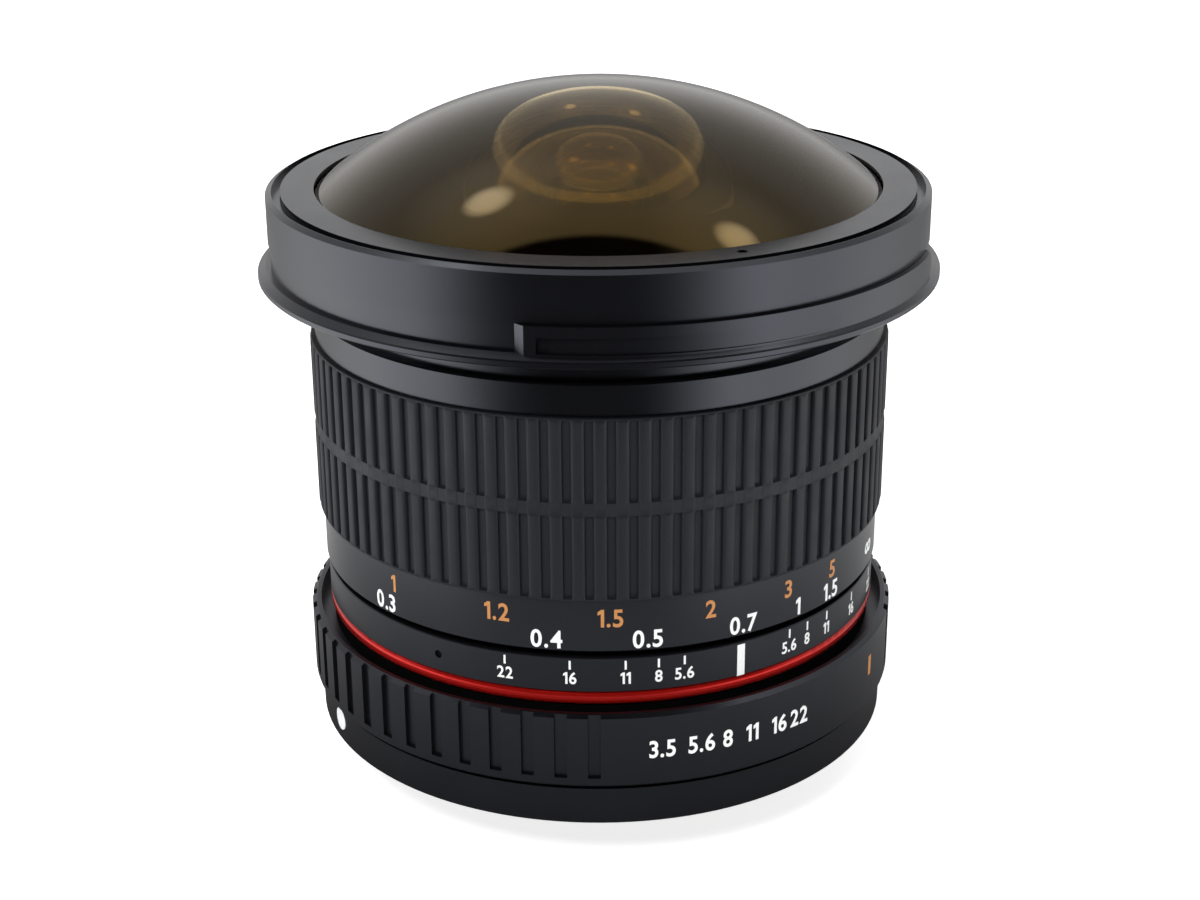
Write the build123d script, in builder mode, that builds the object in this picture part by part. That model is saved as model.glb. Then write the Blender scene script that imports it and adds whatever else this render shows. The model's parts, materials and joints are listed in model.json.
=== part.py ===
from build123d import *
import os
from math import asin, cos, degrees, radians, sin, sqrt

# Fisheye lens with a bayonet mount and a manual focus ring, in millimetres.
# The optical axis is Z, towards the front glass, and the origin is at the bayonet's rear end.
# An azimuth is counted in degrees from the front (-Y) towards the right (+X).
# The focus scale stands at 0.7 m and the aperture scale at 11.

# Heights of the outside pieces, from the bayonet's rear end to the top of the dome
bayonet_depth = 5.6
mount_face_proud = 0.3
base_ring_height = 4.62
aperture_ring_gap = 0.23
aperture_ring_height = 8.35
seat_gap = 0.05
red_ring_height = 1.6
index_ring_height = 3.95
focus_sleeve_gap = 0.75
focus_sleeve_height = 32.2
flange_gap = 0.41
flange_rim_height = 0.74
flange_slope_height = 0.5
collar_height = 8.06
dome_rise = 10.64

base_bottom = bayonet_depth + mount_face_proud
base_top = base_bottom + base_ring_height
aperture_bottom = base_top + aperture_ring_gap
aperture_top = aperture_bottom + aperture_ring_height
red_bottom = aperture_top + seat_gap
red_top = red_bottom + red_ring_height
index_top = red_top + index_ring_height
sleeve_bottom = index_top + focus_sleeve_gap
sleeve_top = sleeve_bottom + focus_sleeve_height
flange_bottom = sleeve_top + flange_gap
flange_rim_top = flange_bottom + flange_rim_height
collar_foot = flange_rim_top + flange_slope_height
collar_top = collar_foot + collar_height
dome_apex = collar_top + dome_rise

# Fits: play of a turning or sliding piece on its radius, and of a piece in its seat
running_fit = 0.05
seat_fit = 0.05
cut_over = 1.0

# Radii of the outside pieces, each wall counted outwards from the fixed barrel
barrel_radius = 30.55
base_ring_wall = 2.45
aperture_ring_wall = 3.16
red_ring_wall = 0.95
index_ring_wall = 0.95
bearing_step = 0.2
sleeve_wall = 1.35
rubber_depth = 0.65
rib_height = 0.56
flange_overhang = 5.75
collar_step = 1.27
hood_rail_height = 0.67
collar_wall = 1.58

base_radius = barrel_radius + seat_fit + base_ring_wall
aperture_radius = barrel_radius + running_fit + aperture_ring_wall
red_radius = barrel_radius + seat_fit + red_ring_wall
index_radius = barrel_radius + seat_fit + index_ring_wall
bearing_radius = barrel_radius - bearing_step
sleeve_bore = bearing_radius + running_fit
sleeve_radius = sleeve_bore + sleeve_wall
rubber_seat = sleeve_radius - rubber_depth
rubber_radius = sleeve_radius + rib_height
flange_radius = sleeve_radius + flange_overhang
collar_radius = flange_radius - collar_step
collar_bore = collar_radius - collar_wall

# Fixed inner tube that carries the cam ring and guides the moving glass
tube_inset = 3.35
tube_wall = 2.4
tube_shoulder = 1.2
tube_radius = bearing_radius - tube_inset
tube_bore = tube_radius - tube_wall
shoulder_radius = tube_radius + tube_shoulder
barrel_wall = 3.15
iris_drum_inset = 5.1
barrel_bore = barrel_radius - barrel_wall
drum_bore = tube_bore - iris_drum_inset

# Focus: turn of the ring each way from the scale's rest place, and the travel that it gives
turn_to_far = 43.0
turn_to_near = 74.0
cell_travel = 1.2
cell_rise = cell_travel * turn_to_near / (turn_to_near + turn_to_far)
cell_fall = cell_travel - cell_rise
roller_radius = 1.1
roller_height_above_sleeve = 24.95
roller_height = sleeve_bottom + roller_height_above_sleeve

# Front glass: the dome, and the second element in its cell behind it
dome_sag = 13.52
dome_thickness = 2.8
dome_back_curve = 19.0
dome_back_reach = 17.8
dome_seal = 0.4
ring_skirt = 0.85
glass_play = 0.15
front_shelf_thickness = 2.7

dome_reach = collar_bore - seat_fit - ring_skirt - glass_play
dome_curve = (dome_reach ** 2 + dome_sag ** 2) / (2 * dome_sag)

# Aperture: turn of the ring from its rest place to fully open and to fully shut
turn_to_open = 17.0
turn_to_shut = 11.0
stop_azimuths = (10.8, 18.05, 23.1, 28.1, 34.0, 38.75)
rest_stop_azimuth = 28.1
blade_count = 6
blade_turn_share = 0.86

# Places round the axis
index_screw_azimuth = -33.0
click_azimuth = -30.0
lever_azimuth = 180.0


def from_x(azimuth):
    """Angle from +X of a place at this azimuth."""
    return azimuth - 90


def half_plane(angle):
    """Plane through the axis: its x runs outwards at this angle from +X, and its y upwards."""
    outward = (cos(radians(angle)), sin(radians(angle)), 0)
    across = (sin(radians(angle)), -cos(radians(angle)), 0)
    return Plane(origin=(0, 0, 0), x_dir=outward, z_dir=across)


def radial_plane(radius, angle, height):
    """Plane square to the radius at this angle, facing outwards, with its y upwards."""
    outward = (cos(radians(angle)), sin(radians(angle)), 0)
    along = (-sin(radians(angle)), cos(radians(angle)), 0)
    origin = (radius * outward[0], radius * outward[1], height)
    return Plane(origin=origin, x_dir=along, z_dir=outward)


def turned(points, start=0.0, arc=360.0, mode=Mode.ADD):
    """Turn an outline of (radius, height) points about the axis, from start through arc."""
    with BuildSketch(half_plane(start)) as outline:
        with BuildLine():
            Polyline(*points, close=True)
        make_face()
    revolve(outline.sketch, axis=Axis.Z, revolution_arc=arc, mode=mode)


def band(inner, outer, bottom, top, start=0.0, arc=360.0, mode=Mode.ADD):
    """A ring, or a sector of one, of rectangular section."""
    turned([(inner, bottom), (outer, bottom), (outer, top), (inner, top)], start, arc, mode)


def radial_post(inner, outer, angle, height, post_radius, mode=Mode.ADD):
    """A round post that points outwards."""
    with BuildSketch(radial_plane(inner, angle, height)) as section:
        Circle(post_radius)
    extrude(section.sketch, amount=outer - inner, mode=mode)


def upright_posts(circle, count, start, bottom, top, post_radius, mode=Mode.ADD):
    """Round posts parallel to the axis, evenly spaced on a circle."""
    with BuildSketch(Plane.XY.offset(bottom)) as section:
        with PolarLocations(circle, count, start):
            Circle(post_radius)
    extrude(section.sketch, amount=top - bottom, mode=mode)


def surface(apex, curve, distance):
    """Height of a glass surface: positive curves fall away from the apex, negative ones rise."""
    sag = abs(curve) - sqrt(curve ** 2 - distance ** 2)
    return apex - sag if curve > 0 else apex + sag


dome_rim = surface(dome_apex - dome_thickness, dome_back_curve, dome_back_reach)
front_shelf_top = dome_rim - dome_seal
front_shelf_bottom = front_shelf_top - front_shelf_thickness


def glass(front, front_curve, back, back_curve, reach, back_reach):
    """A lens element between two spherical surfaces, with a flat rim where the back is smaller."""
    front_edge = surface(front, front_curve, reach)
    back_edge = surface(back, back_curve, back_reach)
    front_middle = surface(front, front_curve, reach / 2)
    back_middle = surface(back, back_curve, back_reach / 2)
    with BuildSketch(half_plane(0)) as outline:
        with BuildLine():
            ThreePointArc((0, front), (reach / 2, front_middle), (reach, front_edge))
            Line((reach, front_edge), (reach, back_edge))
            if back_reach < reach:
                Line((reach, back_edge), (back_reach, back_edge))
            ThreePointArc((back_reach, back_edge), (back_reach / 2, back_middle), (0, back))
            Line((0, back), (0, front))
        make_face()
    revolve(outline.sketch, axis=Axis.Z)


def write(piece, name):
    """Name a finished piece and write it to its own file."""
    piece.part.label = name
    export_step(piece.part, f"parts/{name}.step")


os.makedirs("parts", exist_ok=True)

# Bayonet mount: a metal plate with the register tube and three lugs, and its screws
plate_thickness = 2.0
plate_inset = 3.55
mount_face_width = 7.5
register_wall = 2.2
lug_reach = 1.5
lug_height = 1.5
lug_setback = 0.3
lug_count = 3
lug_arc = 54.0
lug_azimuth = -35.0
relief_width = 2.2
relief_depth = 0.5
mount_screw_count = 5
mount_screw_radius = 0.8
mount_screw_head = 1.6
mount_screw_length = 5.0
mount_screw_azimuth = 0.0

plate_bottom = bayonet_depth
plate_top = plate_bottom + plate_thickness
plate_radius = base_radius - plate_inset
register_radius = plate_radius - mount_face_width
bayonet_bore = register_radius - register_wall
relief_radius = register_radius + relief_width
mount_screw_circle = (relief_radius + plate_radius) / 2
screw_cone_height = mount_screw_head - mount_screw_radius
mount_screw_start = from_x(mount_screw_azimuth)


def mount_screws(clearance, mode):
    """The countersunk screws of the mount, or the holes that they pass through."""
    shank = mount_screw_radius + clearance
    head = mount_screw_head + clearance
    top = plate_bottom + mount_screw_length + clearance
    for turn in range(mount_screw_count):
        angle = mount_screw_start + turn * 360 / mount_screw_count
        place = (mount_screw_circle * cos(radians(angle)), mount_screw_circle * sin(radians(angle)))
        with BuildSketch(Plane(origin=(*place, 0), z_dir=(0, -1, 0), x_dir=(1, 0, 0))) as outline:
            with BuildLine():
                Polyline(
                    (0, plate_bottom),
                    (head, plate_bottom),
                    (shank, plate_bottom + screw_cone_height),
                    (shank, top),
                    (0, top),
                    close=True,
                )
            make_face()
        revolve(outline.sketch, axis=Axis((*place, 0), (0, 0, 1)), mode=mode)


with BuildPart() as bayonet_mount:
    turned([
        (bayonet_bore, 0),
        (register_radius, 0),
        (register_radius, plate_bottom + relief_depth),
        (relief_radius, plate_bottom + relief_depth),
        (relief_radius, plate_bottom),
        (plate_radius, plate_bottom),
        (plate_radius, plate_top),
        (bayonet_bore, plate_top),
    ])
    for turn in range(lug_count):
        band(
            bayonet_bore,
            register_radius + lug_reach,
            lug_setback,
            lug_setback + lug_height,
            start=from_x(lug_azimuth) + turn * 360 / lug_count,
            arc=lug_arc,
        )
    mount_screws(seat_fit, Mode.SUBTRACT)
write(bayonet_mount, "bayonet_mount")

with BuildPart() as bayonet_screws:
    mount_screws(0, Mode.ADD)
write(bayonet_screws, "bayonet_screws")

# Base ring: the smooth ring round the mount, with a web clamped under the barrel's rear wall
# and a neck at its top that leaves a dark line under the aperture ring
base_web = 0.9
base_lip_reach = 1.2
base_lip = 0.4
base_taper = 0.08
base_edge = 0.2
base_neck_height = 0.35
base_neck_depth = 0.5

web_top = plate_top + base_web
lip_seat = web_top - base_lip
web_bore = relief_radius - base_lip_reach - seat_fit
neck_bottom = base_top - base_neck_height
neck_radius = base_radius - base_neck_depth

with BuildPart() as base_ring:
    turned([
        (plate_radius + 2 * seat_fit, base_bottom),
        (base_radius - base_taper - base_edge, base_bottom),
        (base_radius - base_taper, base_bottom + base_edge),
        (base_radius, neck_bottom),
        (neck_radius, neck_bottom),
        (neck_radius, base_top),
        (barrel_radius + seat_fit, base_top),
        (barrel_radius + seat_fit, web_top),
        (web_bore - base_lip_reach, web_top),
        (web_bore - base_lip_reach, lip_seat),
        (web_bore, lip_seat),
        (web_bore, plate_top),
        (plate_radius + 2 * seat_fit, plate_top),
    ])
    mount_screws(seat_fit, Mode.SUBTRACT)
write(base_ring, "base_ring")

# Rear cover: the light baffle inside the mount, clamped by its flange, with the lever's slot
cover_wall = 0.8
cover_face = 0.8
cover_depth = 1.2
cover_hole = 12.2
lever_gap = 1.1
lever_thickness = 1.4
lever_width = 3.0
lever_play = 0.3

cover_radius = bayonet_bore - 2 * seat_fit
cover_flange_top = lip_seat - seat_fit
lever_radius = min(bayonet_bore, drum_bore) - lever_gap
lever_inner = lever_radius - lever_thickness
lever_half_angle = degrees(asin((lever_width / 2 + lever_play) / lever_inner))
lever_sweep = turn_to_shut + turn_to_open + 2 * lever_half_angle
lever_sweep_start = from_x(lever_azimuth) - turn_to_shut - lever_half_angle

with BuildPart() as rear_cover:
    turned([
        (cover_hole, cover_depth),
        (cover_radius, cover_depth),
        (cover_radius, plate_top + seat_fit),
        (web_bore - seat_fit, plate_top + seat_fit),
        (web_bore - seat_fit, cover_flange_top),
        (cover_radius - cover_wall, cover_flange_top),
        (cover_radius - cover_wall, cover_depth + cover_face),
        (cover_hole, cover_depth + cover_face),
    ])
    band(
        lever_inner - lever_play,
        lever_radius + lever_play,
        cover_depth - cut_over,
        cover_depth + cover_face + cut_over,
        start=lever_sweep_start,
        arc=lever_sweep,
        mode=Mode.SUBTRACT,
    )
write(rear_cover, "rear_cover")

# Main barrel: rear wall, bearing of the aperture ring, stop flange, bearing of the focus sleeve,
# the shelf that carries the iris and the rear glass, and the long guide tube
rear_wall = 3.9
rear_bore_inset = 3.4
stop_flange_depth = 1.6
stop_flange_reach = 0.65
focus_bearing_height = 6.1
shelf_height_above_index = 3.2
shelf_thickness = 2.0
shelf_bore_inset = 0.5
shoulder_below_roller = 6.2
guide_margin = 0.3
fork_thickness = 1.0
fork_height_share = 0.458
fork_window_play = 1.1
fork_foot_width = 6.0
click_height_share = 0.522
ball_radius = 0.79
ball_hole_play = 0.06
index_screw_count = 3
index_screw_radius = 0.45
index_screw_dimple = 0.65
shelf_screw_count = 3
shelf_screw_radius = 0.6
shelf_screw_inset = 2.7
iris_screw_azimuth = 60.0
cell_screw_azimuth = 0.0
tube_screw_count = 4
tube_screw_radius = 0.5
tube_screw_depth = 3.0
tube_screw_azimuth = 45.0

rear_bore = barrel_bore - rear_bore_inset
shelf_bore = drum_bore - shelf_bore_inset
shelf_screw_circle = tube_bore - shelf_screw_inset
shelf_bottom = index_top + shelf_height_above_index
shelf_top = shelf_bottom + shelf_thickness
tube_top = front_shelf_bottom
shoulder_height = roller_height - shoulder_below_roller
bearing_top = index_top + focus_bearing_height
stop_flange_radius = barrel_radius + stop_flange_reach
fork_height = aperture_bottom + fork_height_share * aperture_ring_height
click_height = aperture_bottom + click_height_share * aperture_ring_height
ball_hole = ball_radius + ball_hole_play
guide_half = roller_radius + running_fit / 2
tube_screw_circle = tube_radius - tube_wall / 2
fork_half_angle = degrees(asin((fork_foot_width / 2 + fork_window_play) / barrel_bore))
index_screw_height = red_top + index_ring_height / 2
window_start = from_x(lever_azimuth) - turn_to_shut - fork_half_angle
window_arc = turn_to_shut + turn_to_open + 2 * fork_half_angle
window_bottom = fork_height - fork_thickness / 2 - fork_window_play
window_top = fork_height + fork_thickness / 2 + fork_window_play
spring_screw_azimuth_step = 13.0
spring_screw_radius = 0.6
spring_screw_depth = 1.6
spring_screw_azimuth = click_azimuth + spring_screw_azimuth_step

with BuildPart() as main_barrel:
    turned([
        (rear_bore, web_top),
        (barrel_radius, web_top),
        (barrel_radius, aperture_top - stop_flange_depth),
        (stop_flange_radius, aperture_top - stop_flange_depth),
        (stop_flange_radius, red_bottom),
        (barrel_radius, red_bottom),
        (barrel_radius, index_top),
        (bearing_radius, index_top),
        (bearing_radius, bearing_top),
        (shoulder_radius, bearing_top),
        (shoulder_radius, shoulder_height),
        (tube_radius, shoulder_height),
        (tube_radius, tube_top),
        (tube_bore, tube_top),
        (tube_bore, shelf_top),
        (shelf_bore, shelf_top),
        (shelf_bore, shelf_bottom),
        (barrel_bore, shelf_bottom),
        (barrel_bore, web_top + rear_wall),
        (rear_bore, web_top + rear_wall),
    ])
    mount_screws(seat_fit, Mode.SUBTRACT)
    band(
        barrel_bore - cut_over,
        barrel_radius + cut_over,
        window_bottom,
        window_top,
        start=window_start,
        arc=window_arc,
        mode=Mode.SUBTRACT,
    )
    with BuildSketch(Plane.YZ):
        with Locations((0, roller_height + (cell_rise - cell_fall) / 2)):
            SlotCenterToCenter(cell_travel + 2 * guide_margin, 2 * guide_half, rotation=90)
    extrude(amount=tube_radius + cut_over, both=True, mode=Mode.SUBTRACT)
    radial_post(
        barrel_bore - cut_over,
        barrel_radius + cut_over,
        from_x(click_azimuth),
        click_height,
        ball_hole,
        Mode.SUBTRACT,
    )
    radial_post(
        barrel_bore - cut_over,
        barrel_bore + spring_screw_depth,
        from_x(spring_screw_azimuth),
        click_height,
        spring_screw_radius,
        Mode.SUBTRACT,
    )
    for turn in range(index_screw_count):
        radial_post(
            barrel_radius - index_screw_dimple,
            barrel_radius + cut_over,
            from_x(index_screw_azimuth) + turn * 360 / index_screw_count,
            index_screw_height,
            index_screw_radius,
            Mode.SUBTRACT,
        )
    for azimuth in (iris_screw_azimuth, cell_screw_azimuth):
        upright_posts(
            shelf_screw_circle,
            shelf_screw_count,
            from_x(azimuth),
            shelf_bottom - cut_over,
            shelf_top + cut_over,
            shelf_screw_radius,
            Mode.SUBTRACT,
        )
    upright_posts(
        tube_screw_circle,
        tube_screw_count,
        from_x(tube_screw_azimuth),
        tube_top - tube_screw_depth,
        tube_top + cut_over,
        tube_screw_radius,
        Mode.SUBTRACT,
    )
write(main_barrel, "main_barrel")

# Red ring: a thin band with a rounded face, clamped between the stop flange and the index ring
red_ring_round_share = 0.4

with BuildPart() as red_ring:
    band(barrel_radius + seat_fit, red_radius, red_bottom, red_top)
    outer_edges = red_ring.edges().filter_by(GeomType.CIRCLE).sort_by(SortBy.RADIUS)[-2:]
    fillet(outer_edges, red_ring_height * red_ring_round_share)
write(red_ring, "red_ring")

# Index ring: carries the index line, and is held by three grub screws
index_edge = 0.1

with BuildPart() as index_ring:
    band(barrel_radius + seat_fit, index_radius, red_top, index_top)
    outer_edges = index_ring.edges().filter_by(GeomType.CIRCLE).sort_by(SortBy.RADIUS)[-2:]
    chamfer(outer_edges, index_edge)
    for turn in range(index_screw_count):
        radial_post(
            barrel_radius - cut_over,
            index_radius + cut_over,
            from_x(index_screw_azimuth) + turn * 360 / index_screw_count,
            index_screw_height,
            index_screw_radius,
            Mode.SUBTRACT,
        )
write(index_ring, "index_ring")

index_screw_sink = 0.25

with BuildPart() as index_ring_screws:
    for turn in range(index_screw_count):
        radial_post(
            barrel_radius - index_screw_dimple,
            index_radius - index_screw_sink,
            from_x(index_screw_azimuth) + turn * 360 / index_screw_count,
            index_screw_height,
            index_screw_radius,
        )
write(index_ring_screws, "index_ring_screws")

# Aperture ring: slotted grip land with a smooth sector for its numbers, and click scallops inside
ring_mouth_reach = 1.55
ring_mouth_depth = 1.75
ring_chamfer_height = 0.3
ring_chamfer_reach = 0.55
slot_pitch = 6.0
slot_width = 1.33
slot_depth = 0.45
slot_start_share = 0.126
smooth_from_azimuth = 0.0
smooth_to_azimuth = 74.0
first_slot_azimuth = -1.3
click_groove_width = 2.0
click_groove_depth = 0.2
scallop_depth = 0.2
scallop_radius = 0.8
fork_pocket_depth = 1.3
fork_pocket_play = 0.1
fork_foot_height = 3.0
fork_foot_thickness = 1.1
fork_screw_radius = 0.35
fork_screw_bite = 0.9
fork_screw_share = 0.37
edge_break = 0.25

ring_bore = barrel_radius + running_fit
mouth_radius = stop_flange_radius + ring_mouth_reach
slot_floor = aperture_radius - slot_depth
slot_count = int((360 - smooth_to_azimuth + smooth_from_azimuth) / slot_pitch) + 1
slot_start = from_x(first_slot_azimuth) - (slot_count - 1) * slot_pitch
slot_middle = slot_floor + (slot_depth + cut_over) / 2
slot_bottom = aperture_bottom + slot_start_share * aperture_ring_height
click_floor = ring_bore + click_groove_depth
fork_pocket_floor = ring_bore + fork_pocket_depth
fork_screw_offset = fork_screw_share * fork_foot_width


def fork_posts(inner, outer, post_radius, mode):
    """A pair of radial posts, one each side of the lever: screws of the fork, or their holes."""
    with BuildSketch(radial_plane(inner, from_x(lever_azimuth), fork_height)) as section:
        with Locations((-fork_screw_offset, 0), (fork_screw_offset, 0)):
            Circle(post_radius)
    extrude(section.sketch, amount=outer - inner, mode=mode)


with BuildPart() as aperture_ring:
    turned([
        (ring_bore, aperture_bottom),
        (aperture_radius - edge_break, aperture_bottom),
        (aperture_radius, aperture_bottom + edge_break),
        (aperture_radius, aperture_top - ring_chamfer_height),
        (aperture_radius - ring_chamfer_reach, aperture_top),
        (mouth_radius, aperture_top),
        (mouth_radius, aperture_top - ring_mouth_depth),
        (ring_bore, aperture_top - ring_mouth_depth),
    ])
    with BuildSketch(Plane.XY.offset(slot_bottom)):
        with PolarLocations(slot_middle, slot_count, slot_start, slot_pitch * slot_count):
            Rectangle(slot_depth + cut_over, slot_width)
    extrude(amount=aperture_ring_height, mode=Mode.SUBTRACT)
    band(
        ring_bore - cut_over,
        click_floor,
        click_height - click_groove_width / 2,
        click_height + click_groove_width / 2,
        mode=Mode.SUBTRACT,
    )
    for azimuth in stop_azimuths:
        radial_post(
            ring_bore - cut_over,
            click_floor + scallop_depth,
            from_x(click_azimuth + azimuth - rest_stop_azimuth),
            click_height,
            scallop_radius,
            Mode.SUBTRACT,
        )
    with BuildSketch(radial_plane(ring_bore - cut_over, from_x(lever_azimuth), fork_height)):
        Rectangle(fork_foot_width + 2 * fork_pocket_play, fork_foot_height + 2 * fork_pocket_play)
    extrude(amount=fork_pocket_depth + cut_over, mode=Mode.SUBTRACT)
    fork_posts(ring_bore, fork_pocket_floor + fork_screw_bite, fork_screw_radius, Mode.SUBTRACT)
write(aperture_ring, "aperture_ring")

# Aperture fork: screwed into the ring's pocket, it reaches in through the barrel's window
# and holds the lever between two prongs
prong_play = 0.15
prong_reach = 0.1
prong_length = 5.4
prong_width = 1.8
fork_neck_width = 2.8

fork_foot_inner = fork_pocket_floor - fork_foot_thickness
prong_gap = lever_width + 2 * prong_play
lever_plane = Plane(origin=(0, 0, 0), x_dir=(0, 1, 0), z_dir=(0, 0, 1))
prong_inner = lever_inner - prong_reach
prong_outer = prong_inner + prong_length
prong_end = lever_radius + 2 * lever_play

with BuildPart() as aperture_fork:
    with BuildSketch(lever_plane.offset(fork_height - fork_thickness / 2)):
        with Locations(((prong_outer + fork_foot_inner) / 2, 0)):
            Rectangle(fork_foot_inner - prong_outer + fork_foot_thickness, fork_neck_width)
        with Locations(((prong_inner + prong_outer) / 2, 0)):
            Rectangle(prong_length, prong_gap + 2 * prong_width)
        with Locations(((prong_inner + prong_end) / 2, 0)):
            Rectangle(prong_end - prong_inner, prong_gap, mode=Mode.SUBTRACT)
    extrude(amount=fork_thickness)
    with BuildSketch(radial_plane(fork_foot_inner, from_x(lever_azimuth), fork_height)):
        Rectangle(fork_foot_width, fork_foot_height)
    extrude(amount=fork_foot_thickness)
    fork_posts(fork_foot_inner, fork_pocket_floor, fork_screw_radius, Mode.SUBTRACT)
write(aperture_fork, "aperture_fork")

fork_screw_head = 0.6
fork_screw_head_height = 0.5

with BuildPart() as aperture_fork_screws:
    fork_posts(fork_foot_inner, fork_pocket_floor + fork_screw_bite, fork_screw_radius, Mode.ADD)
    fork_posts(fork_foot_inner - fork_screw_head_height, fork_foot_inner, fork_screw_head, Mode.ADD)
write(aperture_fork_screws, "aperture_fork_screws")

# Click stop: a ball in the barrel's wall, pushed outwards by a leaf spring with a stud
spring_thickness = 0.4
spring_width = 2.0
spring_end_arc = 3.5
stud_radius = 0.6
spring_screw_head = 0.95
spring_screw_head_height = 0.7

ball_place = click_floor - seat_fit - ball_radius
spring_outer = barrel_bore - seat_fit
spring_inner = spring_outer - spring_thickness
spring_arc = spring_screw_azimuth_step + 2 * spring_end_arc

with BuildPart() as click_ball:
    with Locations(radial_plane(ball_place, from_x(click_azimuth), click_height)):
        Sphere(ball_radius)
write(click_ball, "click_ball")

with BuildPart() as click_spring:
    band(
        spring_inner,
        spring_outer,
        click_height - spring_width / 2,
        click_height + spring_width / 2,
        start=from_x(click_azimuth - spring_end_arc),
        arc=spring_arc,
    )
    radial_post(
        spring_outer - spring_thickness / 2,
        ball_place - ball_radius,
        from_x(click_azimuth),
        click_height,
        stud_radius,
    )
    radial_post(
        spring_inner - cut_over,
        spring_outer + cut_over,
        from_x(spring_screw_azimuth),
        click_height,
        spring_screw_radius,
        Mode.SUBTRACT,
    )
write(click_spring, "click_spring")

with BuildPart() as click_spring_screw:
    radial_post(
        spring_inner,
        barrel_bore + spring_screw_depth,
        from_x(spring_screw_azimuth),
        click_height,
        spring_screw_radius,
    )
    radial_post(
        spring_inner - spring_screw_head_height,
        spring_inner,
        from_x(spring_screw_azimuth),
        click_height,
        spring_screw_head,
    )
write(click_spring_screw, "click_spring_screw")

# Iris: six blades turn on pins in the housing's front plate, and a ring behind them drives them
pivot_circle = 15.6
drive_angle = 15.5
blade_inner = 7.6
blade_outer = 13.2
blade_arc = 112.0
blade_lead_angle = 5.0
blade_thickness = 0.2
blade_gap = 0.06
ear_width = 2.4
ear_reach_share = 0.2
pin_radius = 0.45
pin_play = 0.05
pin_hold = 0.9
layer_play = 0.15
iris_plate = 1.5
stop_radius = 7.9
drum_wall = 1.2
iris_flange = 1.5
snap_ring_lift = 1.4
snap_ring_thickness = 0.7
snap_ring_groove = 0.45
snap_ring_start = 12.0
snap_ring_arc = 336.0
actuator_thickness = 1.5
actuator_bore = 11.5
slot_margin_angle = 1.0

snap_bottom = shelf_top + snap_ring_lift
snap_top = snap_bottom + snap_ring_thickness
actuator_bottom = snap_top + layer_play
actuator_top = actuator_bottom + actuator_thickness
blades_bottom = actuator_top + layer_play
layer_pitch = blade_thickness + blade_gap
iris_plate_bottom = blades_bottom + blade_count * layer_pitch - blade_gap + layer_play
iris_plate_top = iris_plate_bottom + iris_plate
drum_radius = drum_bore + drum_wall
iris_flange_radius = tube_bore - seat_fit
pivot_hole = pin_radius + pin_play
iris_screw_radius = shelf_screw_radius
iris_screw_head = 0.95
iris_screw_head_height = 0.8


def rotated(point, angle):
    """A point of the plane turned about the axis."""
    c, s = cos(radians(angle)), sin(radians(angle))
    return (point[0] * c - point[1] * s, point[0] * s + point[1] * c)


def drive_pin(ring_turn):
    """Where the drive pin of the blade that pivots at +X stands when the ring has turned."""
    open_place = rotated((pivot_circle, 0), -drive_angle)
    arm = (open_place[0] - pivot_circle, open_place[1])
    swung = rotated(arm, blade_turn_share * (ring_turn - turn_to_open))
    return (pivot_circle + swung[0], swung[1])


def slot_point(ring_turn):
    """The same pin seen from the driving ring, as a point of its slot."""
    return rotated(drive_pin(ring_turn), -ring_turn)


with BuildPart() as iris_housing:
    turned([
        (drum_bore, shelf_top),
        (iris_flange_radius, shelf_top),
        (iris_flange_radius, shelf_top + iris_flange),
        (drum_radius, shelf_top + iris_flange),
        (drum_radius, iris_plate_top),
        (stop_radius, iris_plate_top),
        (stop_radius, iris_plate_bottom),
        (drum_bore, iris_plate_bottom),
    ])
    band(drum_bore - cut_over, drum_bore + snap_ring_groove, snap_bottom, snap_top, mode=Mode.SUBTRACT)
    upright_posts(
        pivot_circle,
        blade_count,
        0,
        iris_plate_bottom - cut_over,
        iris_plate_top + cut_over,
        pivot_hole,
        Mode.SUBTRACT,
    )
    upright_posts(
        shelf_screw_circle,
        shelf_screw_count,
        from_x(iris_screw_azimuth),
        shelf_top - cut_over,
        shelf_top + iris_flange,
        iris_screw_radius,
        Mode.SUBTRACT,
    )
write(iris_housing, "iris_housing")

with BuildPart() as iris_housing_screws:
    upright_posts(
        shelf_screw_circle,
        shelf_screw_count,
        from_x(iris_screw_azimuth),
        shelf_bottom,
        shelf_top + iris_flange,
        iris_screw_radius,
    )
    upright_posts(
        shelf_screw_circle,
        shelf_screw_count,
        from_x(iris_screw_azimuth),
        shelf_top + iris_flange,
        shelf_top + iris_flange + iris_screw_head_height,
        iris_screw_head,
    )
write(iris_housing_screws, "iris_housing_screws")

with BuildPart() as iris_retaining_ring:
    band(
        lever_radius + lever_play / 2,
        drum_bore + snap_ring_groove - seat_fit,
        snap_bottom,
        snap_top,
        start=snap_ring_start,
        arc=snap_ring_arc,
    )
write(iris_retaining_ring, "iris_retaining_ring")

with BuildLine() as pin_path:
    ThreePointArc(
        slot_point(-turn_to_shut - slot_margin_angle),
        slot_point((turn_to_open - turn_to_shut) / 2),
        slot_point(turn_to_open + slot_margin_angle),
    )

with BuildPart() as iris_actuator_ring:
    with BuildSketch(Plane.XY.offset(actuator_bottom)):
        Circle(drum_bore - running_fit)
        Circle(actuator_bore, mode=Mode.SUBTRACT)
        with PolarLocations(0, blade_count):
            SlotArc(pin_path.edges()[0], 2 * pivot_hole, mode=Mode.SUBTRACT)
    extrude(amount=actuator_thickness)
write(iris_actuator_ring, "iris_actuator_ring")


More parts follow.
